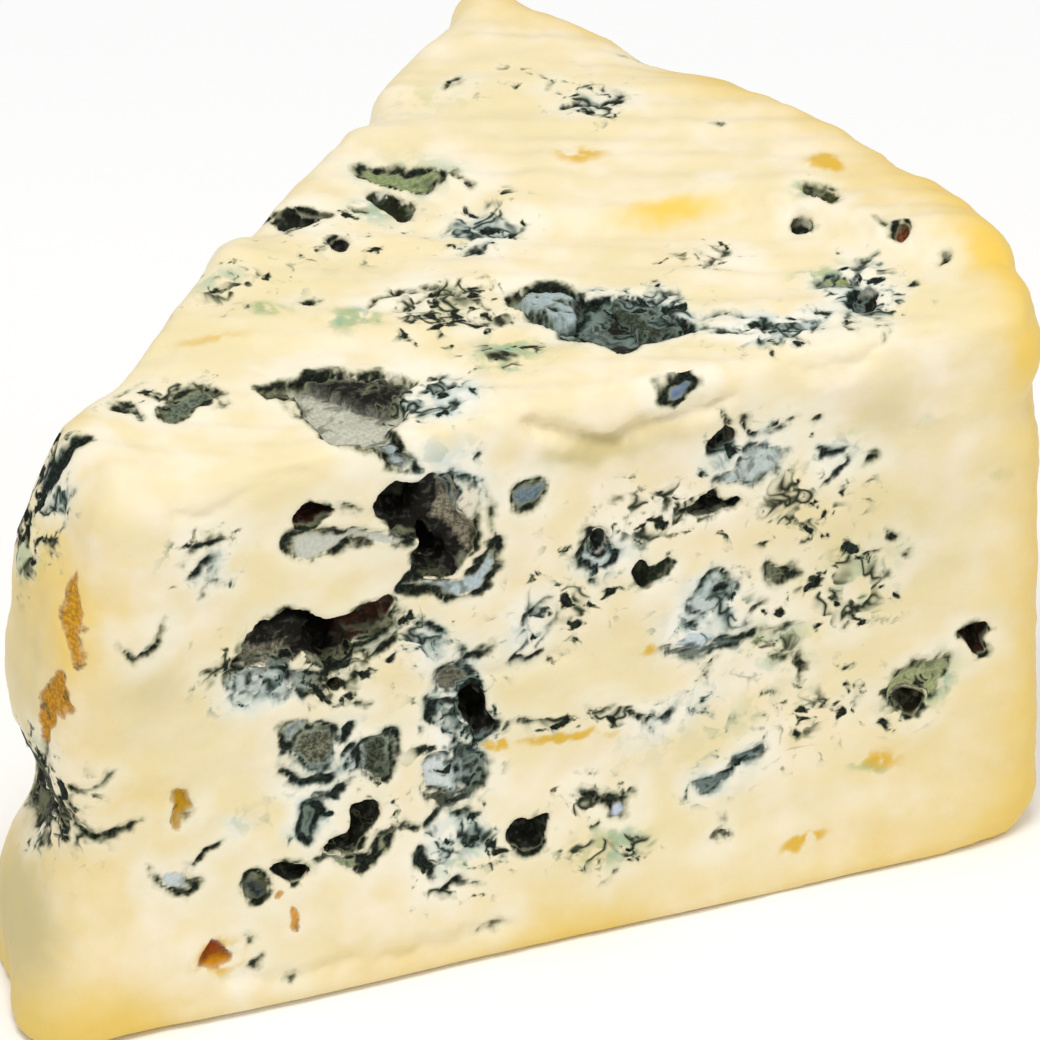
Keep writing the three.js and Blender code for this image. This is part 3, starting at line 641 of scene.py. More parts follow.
# Lines of mould: the face, the width, and the places they run through
VEINS = {
    "front": [
        (1.2, [(64, 72), (65, 68), (65.5, 64), (67.5, 63)]),
        (0.8, [(64, 75), (64.5, 78)]),
        (0.8, [(44.5, 72), (46, 71.5), (50, 71)]),
        (0.9, [(53.5, 55.5), (56, 53), (59, 50.5), (58, 48)]),
        (1.3, [(57.5, 50), (58.5, 47.5), (57, 46.5)]),
        (1.2, [(46.5, 48.5), (47.5, 46.5), (46, 45)]),
        (1.4, [(42.5, 43.5), (45.5, 43), (49, 42)]),
        (1, [(46.5, 47), (48, 48), (48.5, 50)]),
        (2, [(27, 52.5), (28.5, 51)]),
        (0.9, [(30.5, 50.5), (31.5, 48), (30.5, 46.5), (33, 46)]),
        (1.4, [(60, 45), (63, 46), (65.5, 47)]),
        (1.2, [(62.5, 45.5), (61, 47.5)]),
        (1.5, [(57, 41), (57, 38), (58, 35.5)]),
        (1.2, [(67, 33.5), (70, 34), (72.5, 33)]),
        (1, [(78, 34.5), (80, 33), (82, 34)]),
        (1, [(83, 32.5), (86, 31.5), (89.5, 30.5), (90.5, 32.5)]),
        (0.9, [(86, 30.5), (87, 29)]),
        (2.2, [(37, 37), (37, 34), (39.5, 32), (42.5, 32), (44.5, 33.5)]),
        (1.6, [(45, 36.5), (45.5, 38), (47, 38.5)]),
        (1.8, [(50.5, 37), (52.5, 36), (53, 33)]),
        (2.2, [(46.5, 31), (44, 29.5), (41.5, 29)]),
        (1.4, [(39.5, 19.5), (42.5, 20.5)]),
        (1.8, [(51.5, 22.5), (53.5, 22.5), (55.5, 21.5)]),
        (1.3, [(30.5, 11), (32, 11.5)]),
        (0.9, [(24, 69), (25, 70)]),
        (1.9, [(25, 70.5), (26, 70.5), (27.5, 70.5), (29, 71), (31, 71)]),
        (2.1, [(25.5, 67), (27.5, 68), (29, 68.5)]),
        (1.1, [(27.5, 68), (28, 65.5), (31, 64.5)]),
        (0.7, [(28, 65.5), (27, 63)]),
        (1.3, [(96, 76), (97, 74), (97, 72.5)]),
        (0.9, [(100, 73.5), (101, 71), (104, 71.5), (107.5, 72.5)]),
        (1.2, [(99.5, 74.5), (100, 73)]),
        (1, [(97.5, 64.5), (102.5, 64.5), (105.5, 68)]),
        (1.3, [(88, 61.5), (89, 64)]),
        (1.2, [(90.5, 61), (92.5, 61.5)]),
        (0.9, [(95.5, 63.5), (96, 65.5)]),
        (1.6, [(109.5, 70.5), (110.5, 71)]),
        (1.4, [(110, 66.5), (111.5, 65.5), (114, 66.5)]),
        (1.2, [(110.5, 61.5), (112.5, 63), (114.5, 66)]),
        (1.4, [(116, 63.5), (118, 64.5)]),
        (1.3, [(84, 58.5), (86.5, 58.5)]),
        (1.3, [(79, 54), (79.5, 53.5)]),
        (1.2, [(80.5, 52.5), (81, 52)]),
        (1.8, [(95.5, 48), (97, 49), (99, 50)]),
        (1.3, [(91.5, 44), (93, 45)]),
        (1.7, [(98.5, 41), (100.5, 40.5), (101.5, 41)]),
        (1.2, [(99.5, 42.5), (101.5, 45), (103, 46)]),
        (1, [(94, 35.5), (96.5, 37.5)]),
        (1.1, [(68.5, 44), (70.5, 47), (70, 50.5), (72.5, 52), (75.5, 52)]),
        (1.6, [(68, 43.5), (71, 43.5), (72.5, 44.5)]),
        (1, [(71.5, 45.5), (74, 49), (75, 51.5)]),
        (0.8, [(102.5, 40.5), (105, 41), (107.5, 41)]),
        (0.9, [(103, 37), (105.5, 36), (107.5, 37)]),
        (1.3, [(107.5, 37), (108, 34), (108, 31)]),
        (1.2, [(109, 47.5), (111, 46.5)]),
        (1.3, [(111.5, 45), (113, 43.5)]),
        (1.4, [(114, 40.5), (114, 38.5)]),
        (1.2, [(116.5, 49.5), (118.5, 50)]),
        (1.2, [(119.5, 52.5), (120.5, 51.5)]),
        (1, [(121.5, 49), (122.5, 48.5)]),
        (1.2, [(119, 45.5), (120, 46)]),
        (1.3, [(122, 30), (124.5, 31), (127.5, 31.5)]),
        (1, [(118.5, 28), (120.5, 28)]),
        (0.9, [(115.5, 26.5), (116, 28.5)]),
        (1.2, [(97.5, 21), (99, 21.5)]),
        (2, [(76.5, 22.5), (78.5, 21.5), (80.5, 20), (82.5, 20)]),
        (1.2, [(83.5, 20.5), (84.5, 19.5)]),
        (1.6, [(56.5, 21), (57, 23), (58.5, 23.5)]),
        (1.4, [(59.5, 22), (61.5, 23), (63.5, 21)]),
        (1.2, [(62.5, 19.5), (63.5, 17.5)]),
        (2.4, [(55, 19), (55, 16.5), (56.5, 14)]),
        (1.7, [(57, 12), (59.5, 12.5), (61, 12), (63, 11.5)]),
        (1.1, [(79.5, 7), (82, 9)]),
        (1, [(97, 13.5), (97.5, 12.5)]),
        (1.1, [(62.5, 4.5), (64, 5.5), (66.5, 6)]),
        (1, [(64, 5.5), (65, 4)]),
        (1.6, [(31, 7), (33, 8)]),
        (1, [(36, 4), (37, 5)]),
        (1.6, [(9, 37.5), (11.5, 38), (12.5, 38.5), (14.5, 40.5)]),
        (1.1, [(15.5, 60), (16.5, 57.5), (18, 56), (19.5, 56.5), (21, 58), (22.5, 61.5)]),
        (1.5, [(8.5, 35.5), (10, 32.5), (11, 31), (12.5, 30.5), (15, 31), (18, 32)]),
        (1.3, [(18.5, 24.5), (19, 23), (20.5, 21), (22.5, 20), (24.5, 19.5), (25.5, 20.5), (24, 21.5),
            (23.5, 23)]),
        (1.5, [(23.5, 24), (25, 23.5), (26.5, 25), (27.5, 25.5), (29.5, 26)]),
        (0.8, [(23, 31), (24, 31), (25, 32)]),
    ],
    "top": [
        (1, [(40, 18.5), (42.5, 18), (45.5, 18.5), (50, 17)]),
        (1.5, [(59.5, 10), (62.5, 9.5), (65, 11)]),
        (1.4, [(61.5, 4.5), (63.5, 6)]),
        (1.7, [(66, 29.5), (69.5, 30.5), (73, 27)]),
        (1.3, [(69.5, 26), (71.5, 22.5), (73.5, 22)]),
        (1.8, [(51.5, 34.5), (54, 33.5)]),
        (1.5, [(97.5, 12), (100.5, 9.5), (104, 8)]),
        (1, [(80, 55), (81.5, 54)]),
        (1.6, [(80.5, 53), (82, 52.5)]),
        (1.1, [(65, 53), (68, 52)]),
        (1.5, [(74.5, 45.5), (77, 46), (79.5, 45)]),
        (1.5, [(79.5, 45), (80.5, 42), (83.5, 39.5)]),
        (1.3, [(80, 41), (78, 38.5), (75, 39)]),
        (1.1, [(82.5, 40.5), (85, 42.5)]),
        (1.3, [(98.5, 71), (100, 72.5)]),
        (1.6, [(99, 66), (101.5, 67), (103, 65)]),
        (1.5, [(103.5, 64), (107.5, 65.5), (106.5, 68)]),
        (1, [(116, 55), (117.5, 54.5)]),
        (1.1, [(104, 28.5), (106.5, 26), (107.5, 29)]),
        (1, [(105.5, 26.5), (103.5, 24.5)]),
        (1.4, [(106, 7.5), (106.5, 10)]),
        (1.2, [(131.5, 13), (133, 14.5)]),
        (1.6, [(136.5, 38), (138, 34)]),
        (1, [(86, 75), (88.5, 77.5)]),
        (1.3, [(111.5, 78), (114.5, 76.5), (118, 75)]),
        (1.6, [(35, 19), (35.5, 16.5), (34.5, 15)]),
        (1.2, [(22.5, 21), (24.5, 23), (27.5, 24)]),
        (1.5, [(125, 19), (122.5, 18), (120.5, 15.5), (120, 13)]),
        (0.9, [(122, 12), (123.5, 10), (122, 8)]),
        (1, [(119.5, 5.5), (117, 8)]),
        (1.2, [(116.5, 9), (115, 5), (116, 2)]),
        (0.9, [(120, 2.5), (118.5, 0.5)]),
        (0.8, [(126, 24), (127, 22), (128, 21)]),
        (0.9, [(97.5, 13), (102, 14), (105.5, 11.5)]),
        (0.8, [(105.5, 11.5), (107.5, 6.5), (109, 3)]),
        (1.4, [(104.5, 10), (105.5, 8.5), (105, 7)]),
        (0.9, [(110, 9), (112, 7.5), (110.5, 5)]),
        (1.2, [(79, 25), (81, 22), (84, 19.5), (86, 16)]),
        (0.9, [(80, 27), (83, 23.5), (85.5, 22)]),
        (1.5, [(59.5, 30), (62, 32), (65, 32.5), (69.5, 32), (73, 29), (74.5, 24)]),
    ],
    "tip": [
        (4.2, [(12.5, 82), (13, 79), (13.5, 76.5), (15, 73)]),
        (2.4, [(17, 80), (15.5, 77), (16.5, 73)]),
        (1.6, [(13.5, 71), (11.5, 72.5), (9, 75), (7.5, 77)]),
        (2.2, [(16.5, 70), (14.5, 68.5), (13, 67)]),
        (1.4, [(15.5, 66.5), (16.5, 64.5)]),
        (1.2, [(5.5, 42.5), (5, 40.5), (6, 38)]),
        (1.4, [(6, 29.5), (3.5, 28.5), (1.5, 29.5)]),
    ],
}

# Soft stains in the paste, and places strewn with specks: the face, place, width, height, turn, kind
# and strength. The dull olive-tan kind is painted shade under the roll of the front's top edge and on
# the tip's face, and drier paste elsewhere.
TINTS = {
    "front": [
        (124, 68, 9, 5, 0, "green", 0.35),
        (100, 68, 14, 9, 10, "blue", 0.8),
        (112, 65, 9, 9, 0, "blue", 0.6),
        (94, 45, 14, 16, 30, "blue", 0.8),
        (104, 38, 14, 9, 0, "green", 0.7),
        (116, 46, 14, 14, -20, "green", 0.6),
        (125, 27, 13, 9, 35, "green", 0.9),
        (97, 20, 14, 8, 25, "blue", 0.8),
        (94, 27, 22, 8, 25, "green", 0.3),
        (81, 13, 12, 7, 0, "green", 0.9),
        (60, 18, 11, 11, 0, "blue", 0.9),
        (60, 16, 8, 6, 0, "green", 0.8),
        (61, 36, 10, 24, 0, "blue", 0.9),
        (41, 28, 14, 14, 0, "blue", 0.7),
        (45, 35, 18, 14, 0, "blue", 0.6),
        (35, 47, 14, 8, 0, "blue", 0.8),
        (31, 28, 9, 7, -20, "blue", 0.5),
        (29, 67, 9, 9, 0, "blue", 0.5),
        (57, 48, 8, 12, 0, "blue", 0.7),
        (70, 48, 9, 12, 0, "blue", 0.6),
        (81, 57, 12, 9, 0, "blue", 0.6),
        (119, 17, 8, 3, -15, "amber", 0.6),
        (117.5, 16.5, 7, 2, -15, "green", 0.9),
        (76, 30.5, 15, 1.6, -4, "amber", 0.7),
        (66.5, 31.5, 5, 1.5, -10, "amber", 1),
        (86.5, 41.5, 4, 2, 0, "amber", 0.7),
        (17, 66, 3, 18, 0, "gold", 0.3),
        (108, 7, 7, 2, 15, "amber", 0.8),
        (27, 9.5, 7, 5, 0, "amber", 0.9),
        (139, 76, 8, 14, 0, "gold", 0.8),
        (135, 58, 6, 4, 0, "green", 0.4),
        # Painted shade: a dull olive-tan along the crease under the overhanging roll of the top edge
        (79, 73.5, 15, 4, 0, "dry", 1.1),
        (88, 74.5, 12, 4, 0, "dry", 0.6),
        (119, 70, 14, 12, 0, "dry", 0.5),
        (120, 52, 34, 26, 0, "dry", 0.35),
        (90, 30, 24, 12, 20, "blue", 0.5),
        (100, 28, 26, 10, 30, "green", 0.4),
        (114, 68, 6, 6, 0, "green", 0.5),
        (56, 64, 22, 20, 0, "dry", 0.3),
        (20, 52, 14, 12, 0, "dry", 0.5),
        (45, 46, 12, 6, 10, "specks", 0.9),
        (61, 36, 12, 22, 0, "specks", 0.55),
        (60, 16, 12, 12, 0, "specks", 1),
        (45, 27, 18, 12, 0, "specks", 0.5),
        (81, 12, 12, 5, 0, "specks", 1),
        (113, 45, 16, 14, 0, "specks", 0.75),
        (104, 38, 12, 8, 0, "specks", 0.5),
        (124, 26, 12, 8, 35, "specks", 0.6),
        (78, 32.5, 22, 3, -4, "specks", 1),
        (35, 48, 14, 9, 0, "specks", 0.5),
        (100, 68, 20, 12, 0, "specks", 0.4),
        (30, 52, 12, 10, 0, "specks", 0.5),
        (28, 68, 12, 12, 0, "specks", 0.4),
        (56, 50, 12, 14, 0, "specks", 0.5),
        (82, 56, 14, 12, 0, "specks", 0.4),
        (96, 45, 16, 16, 0, "specks", 0.5),
        (97, 21, 14, 9, 20, "specks", 0.5),
        (78, 20, 12, 8, 0, "specks", 0.5),
        (60, 74, 14, 12, 0, "blue", 0.8),
        (88, 62, 26, 12, 0, "specks", 0.6),
        (74, 50, 14, 14, 0, "specks", 0.6),
        (108, 60, 16, 14, 0, "specks", 0.6),
        (100, 34, 18, 12, 20, "specks", 0.35),
        (110, 26, 18, 12, 30, "specks", 0.5),
    ],
    "brow": [
        (60, 5, 12, 10, 0, "specks", 0.9),
    ],
    "top": [
        (47, 34, 7, 4, -40, "green", 1),
        (57, 28, 8, 6, 0, "green", 1),
        (73, 14, 11, 9, 0, "green", 1),
        (43, 42, 9, 6, 0, "green", 0.6),
        (75, 58, 18, 10, -25, "green", 0.6),
        (69, 52, 11, 9, 0, "green", 0.7),
        (117, 18, 9, 5, 0, "green", 0.8),
        (122, 34, 7, 5, -20, "green", 0.9),
        (69, 26, 16, 14, -10, "green", 0.4),
        (90, 17, 24, 16, -20, "blue", 0.8),
        (106, 9, 20, 9, -5, "blue", 1),
        (120, 12, 14, 18, 0, "blue", 0.7),
        (62, 7, 12, 10, 0, "blue", 0.9),
        (79, 43, 12, 12, 0, "blue", 0.7),
        (104, 66, 14, 12, 0, "blue", 0.4),
        (82, 73, 16, 10, 0, "green", 0.4),
        (60, 40, 30, 14, -30, "green", 0.25),
        (104, 38.5, 16, 5, -10, "gold", 0.9),
        (97, 54, 8, 4, 0, "amber", 0.6),
        (126, 40, 4, 6, 20, "amber", 0.9),
        (38, 30, 14, 3, -10, "amber", 0.4),
        (139, 12, 9, 26, 5, "gold", 0.9),
        (70, 26, 14, 13, 0, "specks", 1.3),
        (92, 17, 16, 12, 0, "specks", 0.8),
        (106, 8, 18, 9, 0, "specks", 0.7),
        (103, 66, 12, 10, 0, "specks", 0.8),
        (121, 12, 10, 16, 0, "specks", 0.9),
        (62, 48, 24, 14, 0, "specks", 0.35),
        (73, 14, 12, 8, 0, "specks", 0.7),
        (96, 74, 24, 12, 0, "specks", 0.2),
        (30, 20, 16, 6, 0, "specks", 0.6),
        (45, 40, 16, 12, 0, "specks", 0.5),
        (80, 44, 14, 12, 0, "specks", 0.6),
        (104, 28, 12, 8, 0, "specks", 0.5),
    ],
    "tip": [
        # Painted shade on the tip's face, which turns from the light, strongest at its foot
        (9, 14, 24, 24, 0, "dry", 1.1),
        (10, 52, 16, 40, 0, "dry", 0.5),
        (3, 60, 6, 22, 0, "gold", 0.7),
        (13, 66, 8, 10, 0, "green", 0.6),
        (12, 76, 12, 14, 0, "blue", 0.6),
        (7, 40, 9, 9, 0, "green", 0.5),
        (10, 32, 22, 16, 0, "specks", 1.3),
        (14, 72, 12, 20, 0, "specks", 1.1),
    ],
}

# The hidden back cut gets lines and patches of the same kinds by a rule
BACK_VEINS = 40
BACK_PATCHES = 12


def back_veins():
    """Wandering lines on the back cut."""
    draw = seeded(BACK_SEED + 1)
    made = []
    for i in range(BACK_VEINS):
        at = np.array([28 + 98 * ((i + next(draw)) / BACK_VEINS), 10 + 62 * next(draw)])
        way = next(draw) * 2 * math.pi
        width = 0.9 + 1.6 * next(draw) ** 2
        line = [tuple(at)]
        for _ in range(1 + int(3 * next(draw))):
            way += 1.8 * (next(draw) - 0.4)
            at = at + (1.6 + 1.6 * next(draw)) * np.array([math.cos(way), 0.8 * math.sin(way)])
            line.append(tuple(at))
        made.append(("back", width, line))
    return made


def back_patches():
    """Patches on the back cut, in the colours of the front's."""
    draw = seeded(BACK_SEED + 2)
    tones = ["#6E808A", "#C9CEC6", "#7A7B62", "#18262C"]
    made = []
    for i in range(BACK_PATCHES):
        along, up = 30 + 96 * (i + next(draw)) / BACK_PATCHES, 14 + 56 * next(draw)
        width = 3 + 4 * next(draw)
        outline = ragged_round(draw, along, up, width, width * (0.5 + 0.4 * next(draw)))
        made.append(("back", tones[i % 4], 0.3, 0.9, 0.3, outline))
    return made


def turbulence(p, size):
    """A smooth random push at each place, about one long at most, from lumps of the given size."""
    return np.array([noise.noise_vector(Vector(q)) for q in (p / size).tolist()])


def grain(p, size):
    """Smooth noise at each place, about -1 to 1."""
    return np.array([noise.noise(Vector(q)) for q in (p / size).tolist()])


warped = points + WIDE_WARP * turbulence(points, 3.4) + FINE_WARP * turbulence(points + 50, 1.4)


def near_place(places, centre, reach):
    """Which places are inside a box about the centre."""
    return np.nonzero((np.abs(places - centre) < reach).all(axis=1))[0]


def line_reach(places, face, width, line):
    """The places near a tapering line on a face, and how far inside it each lies."""
    steps = 4 * len(line)
    seeds = np.array([on_skin(face, *place) for place in curve_through(line, steps)])
    taper = width * (0.06 + 0.29 * np.sin(np.pi * np.linspace(0, 1, steps)) ** 0.7)
    centre = (seeds.max(axis=0) + seeds.min(axis=0)) / 2
    close = near_place(places, centre, np.ptp(seeds, axis=0) / 2 + 7)
    start, along = seeds[:-1], seeds[1:] - seeds[:-1]
    away = places[close][:, None] - start
    share = np.clip(np.einsum("nij,ij->ni", away, along) / (along**2).sum(1), 0, 1)
    gap = np.linalg.norm(away - along * share[..., None], axis=2)
    return close, (mix(taper[:-1], taper[1:], share) - gap).max(axis=1)


def outline_reach(places, face, outline, deep):
    """The places near an outline on a face, no deeper than asked, and how far inside it each lies."""
    corner, x_way, y_way, out = np.array(FACES[face], float)
    curve = closed_curve(outline)
    centre = on_skin(face, *curve.mean(axis=0))
    low, high = curve.min(axis=0) - 4, curve.max(axis=0) + 4
    flat = np.column_stack([(places - corner) @ x_way, (places - corner) @ y_way])
    level = (places - centre) @ out
    if face == "brow":
        level /= 3
    within = (flat > low).all(axis=1) & (flat < high).all(axis=1) & (level > -deep) & (level < 4)
    if deep <= PATCH_DEPTH:
        within &= normals @ out > 0.2
    close = np.nonzero(within)[0]
    x, y = flat[close, 0][:, None], flat[close, 1][:, None]
    start, end = curve, np.roll(curve, -1, axis=0)
    along = end - start
    share = ((x - start[:, 0]) * along[:, 0] + (y - start[:, 1]) * along[:, 1]) / (along**2).sum(axis=1)
    share = np.clip(share, 0, 1)
    gap = np.hypot(x - start[:, 0] - share * along[:, 0], y - start[:, 1] - share * along[:, 1]).min(axis=1)
    crosses = (start[:, 1] > y) != (end[:, 1] > y)
    slope = along[:, 0] / np.where(along[:, 1] == 0, 1e-9, along[:, 1])
    crossed = (crosses & (x < start[:, 0] + (y - start[:, 1]) * slope)).sum(axis=1)
    return close, np.where(crossed % 2 == 1, gap, -gap)


# How far inside a line each place lies, in millimetres, below 0 outside it
vein = np.full(count, -FAR_AWAY)
for face, width, line in in_rows(VEINS) + back_veins():
    close, inside = line_reach(warped, face, width, line)
    vein[close] = np.maximum(vein[close], inside)

# How far inside a patch, and the colour and graininess there. The outlines join the lines.
edge_noise = grain(points + 20, 4)
tone = np.tile(srgb("#D8D6C4"), (count, 1))
grainy = np.zeros(count)
filled = np.full(count, -FAR_AWAY)
sink = np.zeros(count)
for face, fill, rough, edge, sunk, outline in in_rows(PATCHES) + back_patches():
    close, inside = outline_reach(warped, face, outline, PATCH_DEPTH)
    if edge > 0:
        uneven = 0.02 + 0.32 * edge * (1 + 1.8 * edge_noise[close])
        vein[close] = np.maximum(vein[close], uneven - np.abs(inside))
    share = smoothstep(inside, -0.9, -0.5 if edge > 0 else 0.8)
    tone[close] = mix(tone[close], srgb(fill), share[:, None])
    grainy[close] = mix(grainy[close], rough, share)
    filled[close] = np.maximum(filled[close], inside)
    sink[close] = np.where(inside > 0.3, 0, sink[close]) + sunk * smoothstep(inside, -0.2, 0.8)
for face, deep, fill, outline in caves:
    close, inside = outline_reach(points, face, outline, deep + 2)
    painted = close[(inside > -2.5) & (depth[close] > 0.2)]
    tone[painted] = srgb(fill)
    grainy[painted] = 0.6

# How far each place of the skin is from the nearest cave's wall
walls = np.nonzero(depth > WALL_DEPTH)[0]
tree = KDTree(len(walls))
for i in walls:
    tree.insert(listed[i], int(i))
tree.balance()
rim = np.array([tree.find(p)[2] for p in listed])
bowl = np.clip(depth, 0, 12)

# How open each place in a cave is: the share of a fan of rays that leaves the wedge. It sets the
# painted shade in the closed depths of the caves.
fan = [(math.acos(1 - 0.9 * (k + 0.5) / FAN_RAYS), 2.4 * k) for k in range(FAN_RAYS)]
fan = np.array([(math.sin(a) * math.cos(b), math.sin(a) * math.sin(b), math.cos(a)) for a, b in fan])
cut_skin = BVHTree.FromPolygons(listed, [tuple(f.vertices) for f in opened.polygons])
openness = np.ones(count)
for i in np.nonzero(depth > 0.5)[0]:
    out = Vector(normals[i])
    across = out.orthogonal().normalized()
    upright = out.cross(across)
    start = Vector(points[i]) + out * 0.5
    rays = [x * across + y * upright + z * out for x, y, z in fan]
    openness[i] = sum(cut_skin.ray_cast(start, ray, 30)[0] is None for ray in rays) / FAN_RAYS

tints = {kind: np.zeros(count) for kind in ("green", "amber", "gold", "dry", "blue", "specks")}
for face, along, up, width, height, turn, kind, strength in in_rows(TINTS):
    _, x_way, y_way, out = np.array(FACES[face], float)
    centre = on_skin(face, along, up)
    close = near_place(warped, centre, max(width, height) + 2)
    away = warped[close] - centre
    c, s = math.cos(math.radians(turn)), math.sin(math.radians(turn))
    x, y = away @ x_way, away @ y_way
    x, y = x * c + y * s, y * c - x * s
    far = (2 * x / width) ** 2 + (2 * y / height) ** 2 + (away @ out / 5) ** 2
    tints[kind][close] = np.maximum(tints[kind][close], strength * np.exp(-far))

# The paste is yellower and drier towards the rind, the tip and the base
from_axis = np.hypot(points[:, 0], points[:, 1])
to_rind = WHEEL_RADIUS - from_axis
patchy = 0.5 + 0.5 * grain(points, 22)
warmth = 0.85 * np.exp(-np.clip(to_rind, 0, None) / 9)
warmth += 0.7 * np.exp(-points[:, 2] / 9) * (0.5 + patchy)
warmth += 0.55 * (1 - smoothstep(points[:, 0], 8, 30)) * (0.4 + patchy)
warmth += 0.25 * smoothstep(patchy, 0.45, 0.9)
rimward = (normals * points)[:, :2].sum(axis=1) / from_axis
rind = smoothstep(from_axis, WHEEL_RADIUS - 5, WHEEL_RADIUS - 3) * smoothstep(rimward, 0.88, 0.97)

# The skin's fine relief: drag marks of the wire on the top, streaks down the tip, a soft grain in the
# paste, the mould sunk below it, the velvet of the caves, and the rough rind. The wire was drawn
# slantwise over the top, so its marks are long that way.
WIRE_WAY = np.array([[0.94, 0.34, 0], [-0.34, 0.94, 0], [0, 0, 1]])
DRAG_STRETCH = np.array([0.16, 1, 0.3])
STREAK_STRETCH = np.array([0.6, 1, 0.07])
FOLD_STRETCH = np.array([1, 1, 0.45])
DRAG_MARKS = 0.45
STREAKS = 0.3
MOULD_SUNK = 0.5
VELVET_FOLDS = 0.7
RIND_ROUGH = 0.3
top = smoothstep(normals[:, 2], 0.6, 0.9) * smoothstep(points[:, 2], 60, 70)
tip_face = smoothstep(-normals[:, 0], 0.5, 0.9) * (1 - smoothstep(points[:, 0], 20, 26))
drag = grain((points @ WIRE_WAY) * DRAG_STRETCH, 2.6)
streak = grain(points * STREAK_STRETCH, 1.9)
soft = grain(points, 4.5)
fine = grain(points, 1.5)
rough = grain(points, 7) + 0.3 * fine
inside_cave = smoothstep(depth, 0.4, 1.4)
height = 0.25 * soft + 0.06 * fine
height += (DRAG_MARKS * drag + 0.4 * grain(points, 9)) * top
height += STREAKS * streak * tip_face
height -= MOULD_SUNK * smoothstep(vein, -0.5, 0.6) * (1 - inside_cave)
height -= sink * (1 - inside_cave)
fold = grain(points * FOLD_STRETCH, 1.8)
height += inside_cave * (VELVET_FOLDS * fold + 0.25 * grain(points, 1))
height += RIND_ROUGH * rough * rind

# The creases are pressed in last. Then all relief fades out towards the foot, so the base stays flat.
for face, deep, width, line in in_rows(CREASES):
    close, inside = line_reach(warped, face, 0.2, line)
    height[close] -= deep * np.exp(-((inside / width) ** 2))
height *= smoothstep(points[:, 2], 0.1, 2)
shaped = points + normals * height[:, None]
shaped[:, 2] = np.where(points[:, 2] < 0.3, 0, np.maximum(shaped[:, 2], 0.02))
opened.vertices.foreach_set("co", ((shaped - MIDDLE) / 1000).ravel())
opened.polygons.foreach_set("use_smooth", np.ones(len(opened.polygons), bool))

# What the material reads for each place of the wedge
kept = {
    "vein": vein,
    "filled": filled,
    "grainy": grainy,
    "bowl": bowl,
    "rim": np.clip(rim, 0, FAR_AWAY),
    "open": openness,
    "fold": fold,
    **tints,
    "warmth": np.clip(warmth, 0, 1.2),
    "rind": rind,
}
for name, values in kept.items():
    opened.attributes.new(name, "FLOAT", "POINT").data.foreach_set("value", values)
opaque = np.column_stack([tone, np.ones(count)])
opened.attributes.new("tone", "FLOAT_COLOR", "POINT").data.foreach_set("color", opaque.ravel())
opened.update()

# The paste: pressed curd, moist and creamy, with a soft waxy gloss. Its ivory goes blue-white round
# the mould and ochre by the rind. The mould is dull, and its velvet duller still.
paste = bpy.data.materials.new("creamy blue cheese paste")
paste.use_nodes = True
paste.node_tree.nodes.clear()

ADD = {"operation": "ADD"}
SUBTRACT = {"operation": "SUBTRACT"}
MULTIPLY = {"operation": "MULTIPLY"}
MULTIPLY_ADD = {"operation": "MULTIPLY_ADD"}
MAXIMUM = {"operation": "MAXIMUM"}
MINIMUM = {"operation": "MINIMUM"}
ABSOLUTE = {"operation": "ABSOLUTE"}
SMOOTH = {"interpolation_type": "SMOOTHSTEP"}
COLOURS = {"data_type": "RGBA"}


def node(kind, settings, *values, give=0, **named):
    """Adds a node with its settings, and its inputs in order or by name: links, hex colours or numbers."""
    made = paste.node_tree.nodes.new("ShaderNode" + kind)
    for name, value in settings.items():
        setattr(made, name, value)
    in_use = [socket for socket in made.inputs if socket.enabled]
    inputs = [*zip(in_use, values), *((made.inputs[name], value) for name, value in named.items())]
    for socket, value in inputs:
        if isinstance(value, bpy.types.NodeSocket):
            paste.node_tree.links.new(value, socket)
        else:
            socket.default_value = (*srgb(value), 1) if isinstance(value, str) else value
    results = [socket for socket in made.outputs if socket.enabled]
    return results[give] if results else made


# Patterns of lumps: the size in millimetres, the detail, the curl, and a shift that sets them apart
PATTERNS = {
    "broad": (26, 1, 0, 0),
    "middle": (7, 2, 0, 0.3),
    "patchy": (4, 2, 0, 0.7),
    "curd": (3, 2, 0, 0.6),
    "speckle": (1, 1, 0, 0.9),
    "dust": (0.5, 2, 0, 0.2),
    "spots": (2.6, 3, 0.4, 0.4),
    "wander": (4.2, 2, 0.5, 1.3),
    "curls": (3.2, 2, 1.2, 1.7),
}
place = node("TexCoord", {}, give=3)
lumps = []
for size, detail, curl, shift in PATTERNS.values():
    moved = node("Mapping", {}, place, (shift, shift, shift))
    lumps.append(node("TexNoise", {}, Vector=moved, Scale=1000 / size, Detail=detail, Distortion=curl))
broad, middle, patchy, curd, speckle, dust, spots, wander, curls = lumps
at = {name: node("Attribute", {"attribute_name": name}, give=2) for name in kept}
own_tone = node("Attribute", {"attribute_name": "tone"})

# The paste's warmth, and how far the mould's white, blue and green bleed into it
warm = node("Math", ADD, at["warmth"], node("Math", MULTIPLY, curd, 0.3))
nearness = node("Math", MAXIMUM, at["vein"], node("Math", MULTIPLY, at["rim"], -1))
ragged = node("Math", ADD, nearness, node("Math", MULTIPLY_ADD, middle, 5, -2.5))
white_zone = node("Math", MULTIPLY, at["blue"], node("MapRange", SMOOTH, ragged, -6, -1))
blue_zone = node("Math", MULTIPLY, at["blue"], node("MapRange", SMOOTH, patchy, 0.35, 0.6))
green_zone = node("Math", MULTIPLY, at["green"], node("MapRange", SMOOTH, curd, 0.34, 0.6))
either = node("Math", MAXIMUM, at["blue"], at["green"])
ghost = node("Math", MULTIPLY, either, node("MapRange", SMOOTH, spots, 0.5, 0.62))
teal = node("Mix", COLOURS, node("MapRange", SMOOTH, middle, 0.4, 0.6), "#A3B47A", "#7FAE92")
stain = node("Math", MULTIPLY, at["amber"], node("MapRange", SMOOTH, curd, 0.3, 0.55))
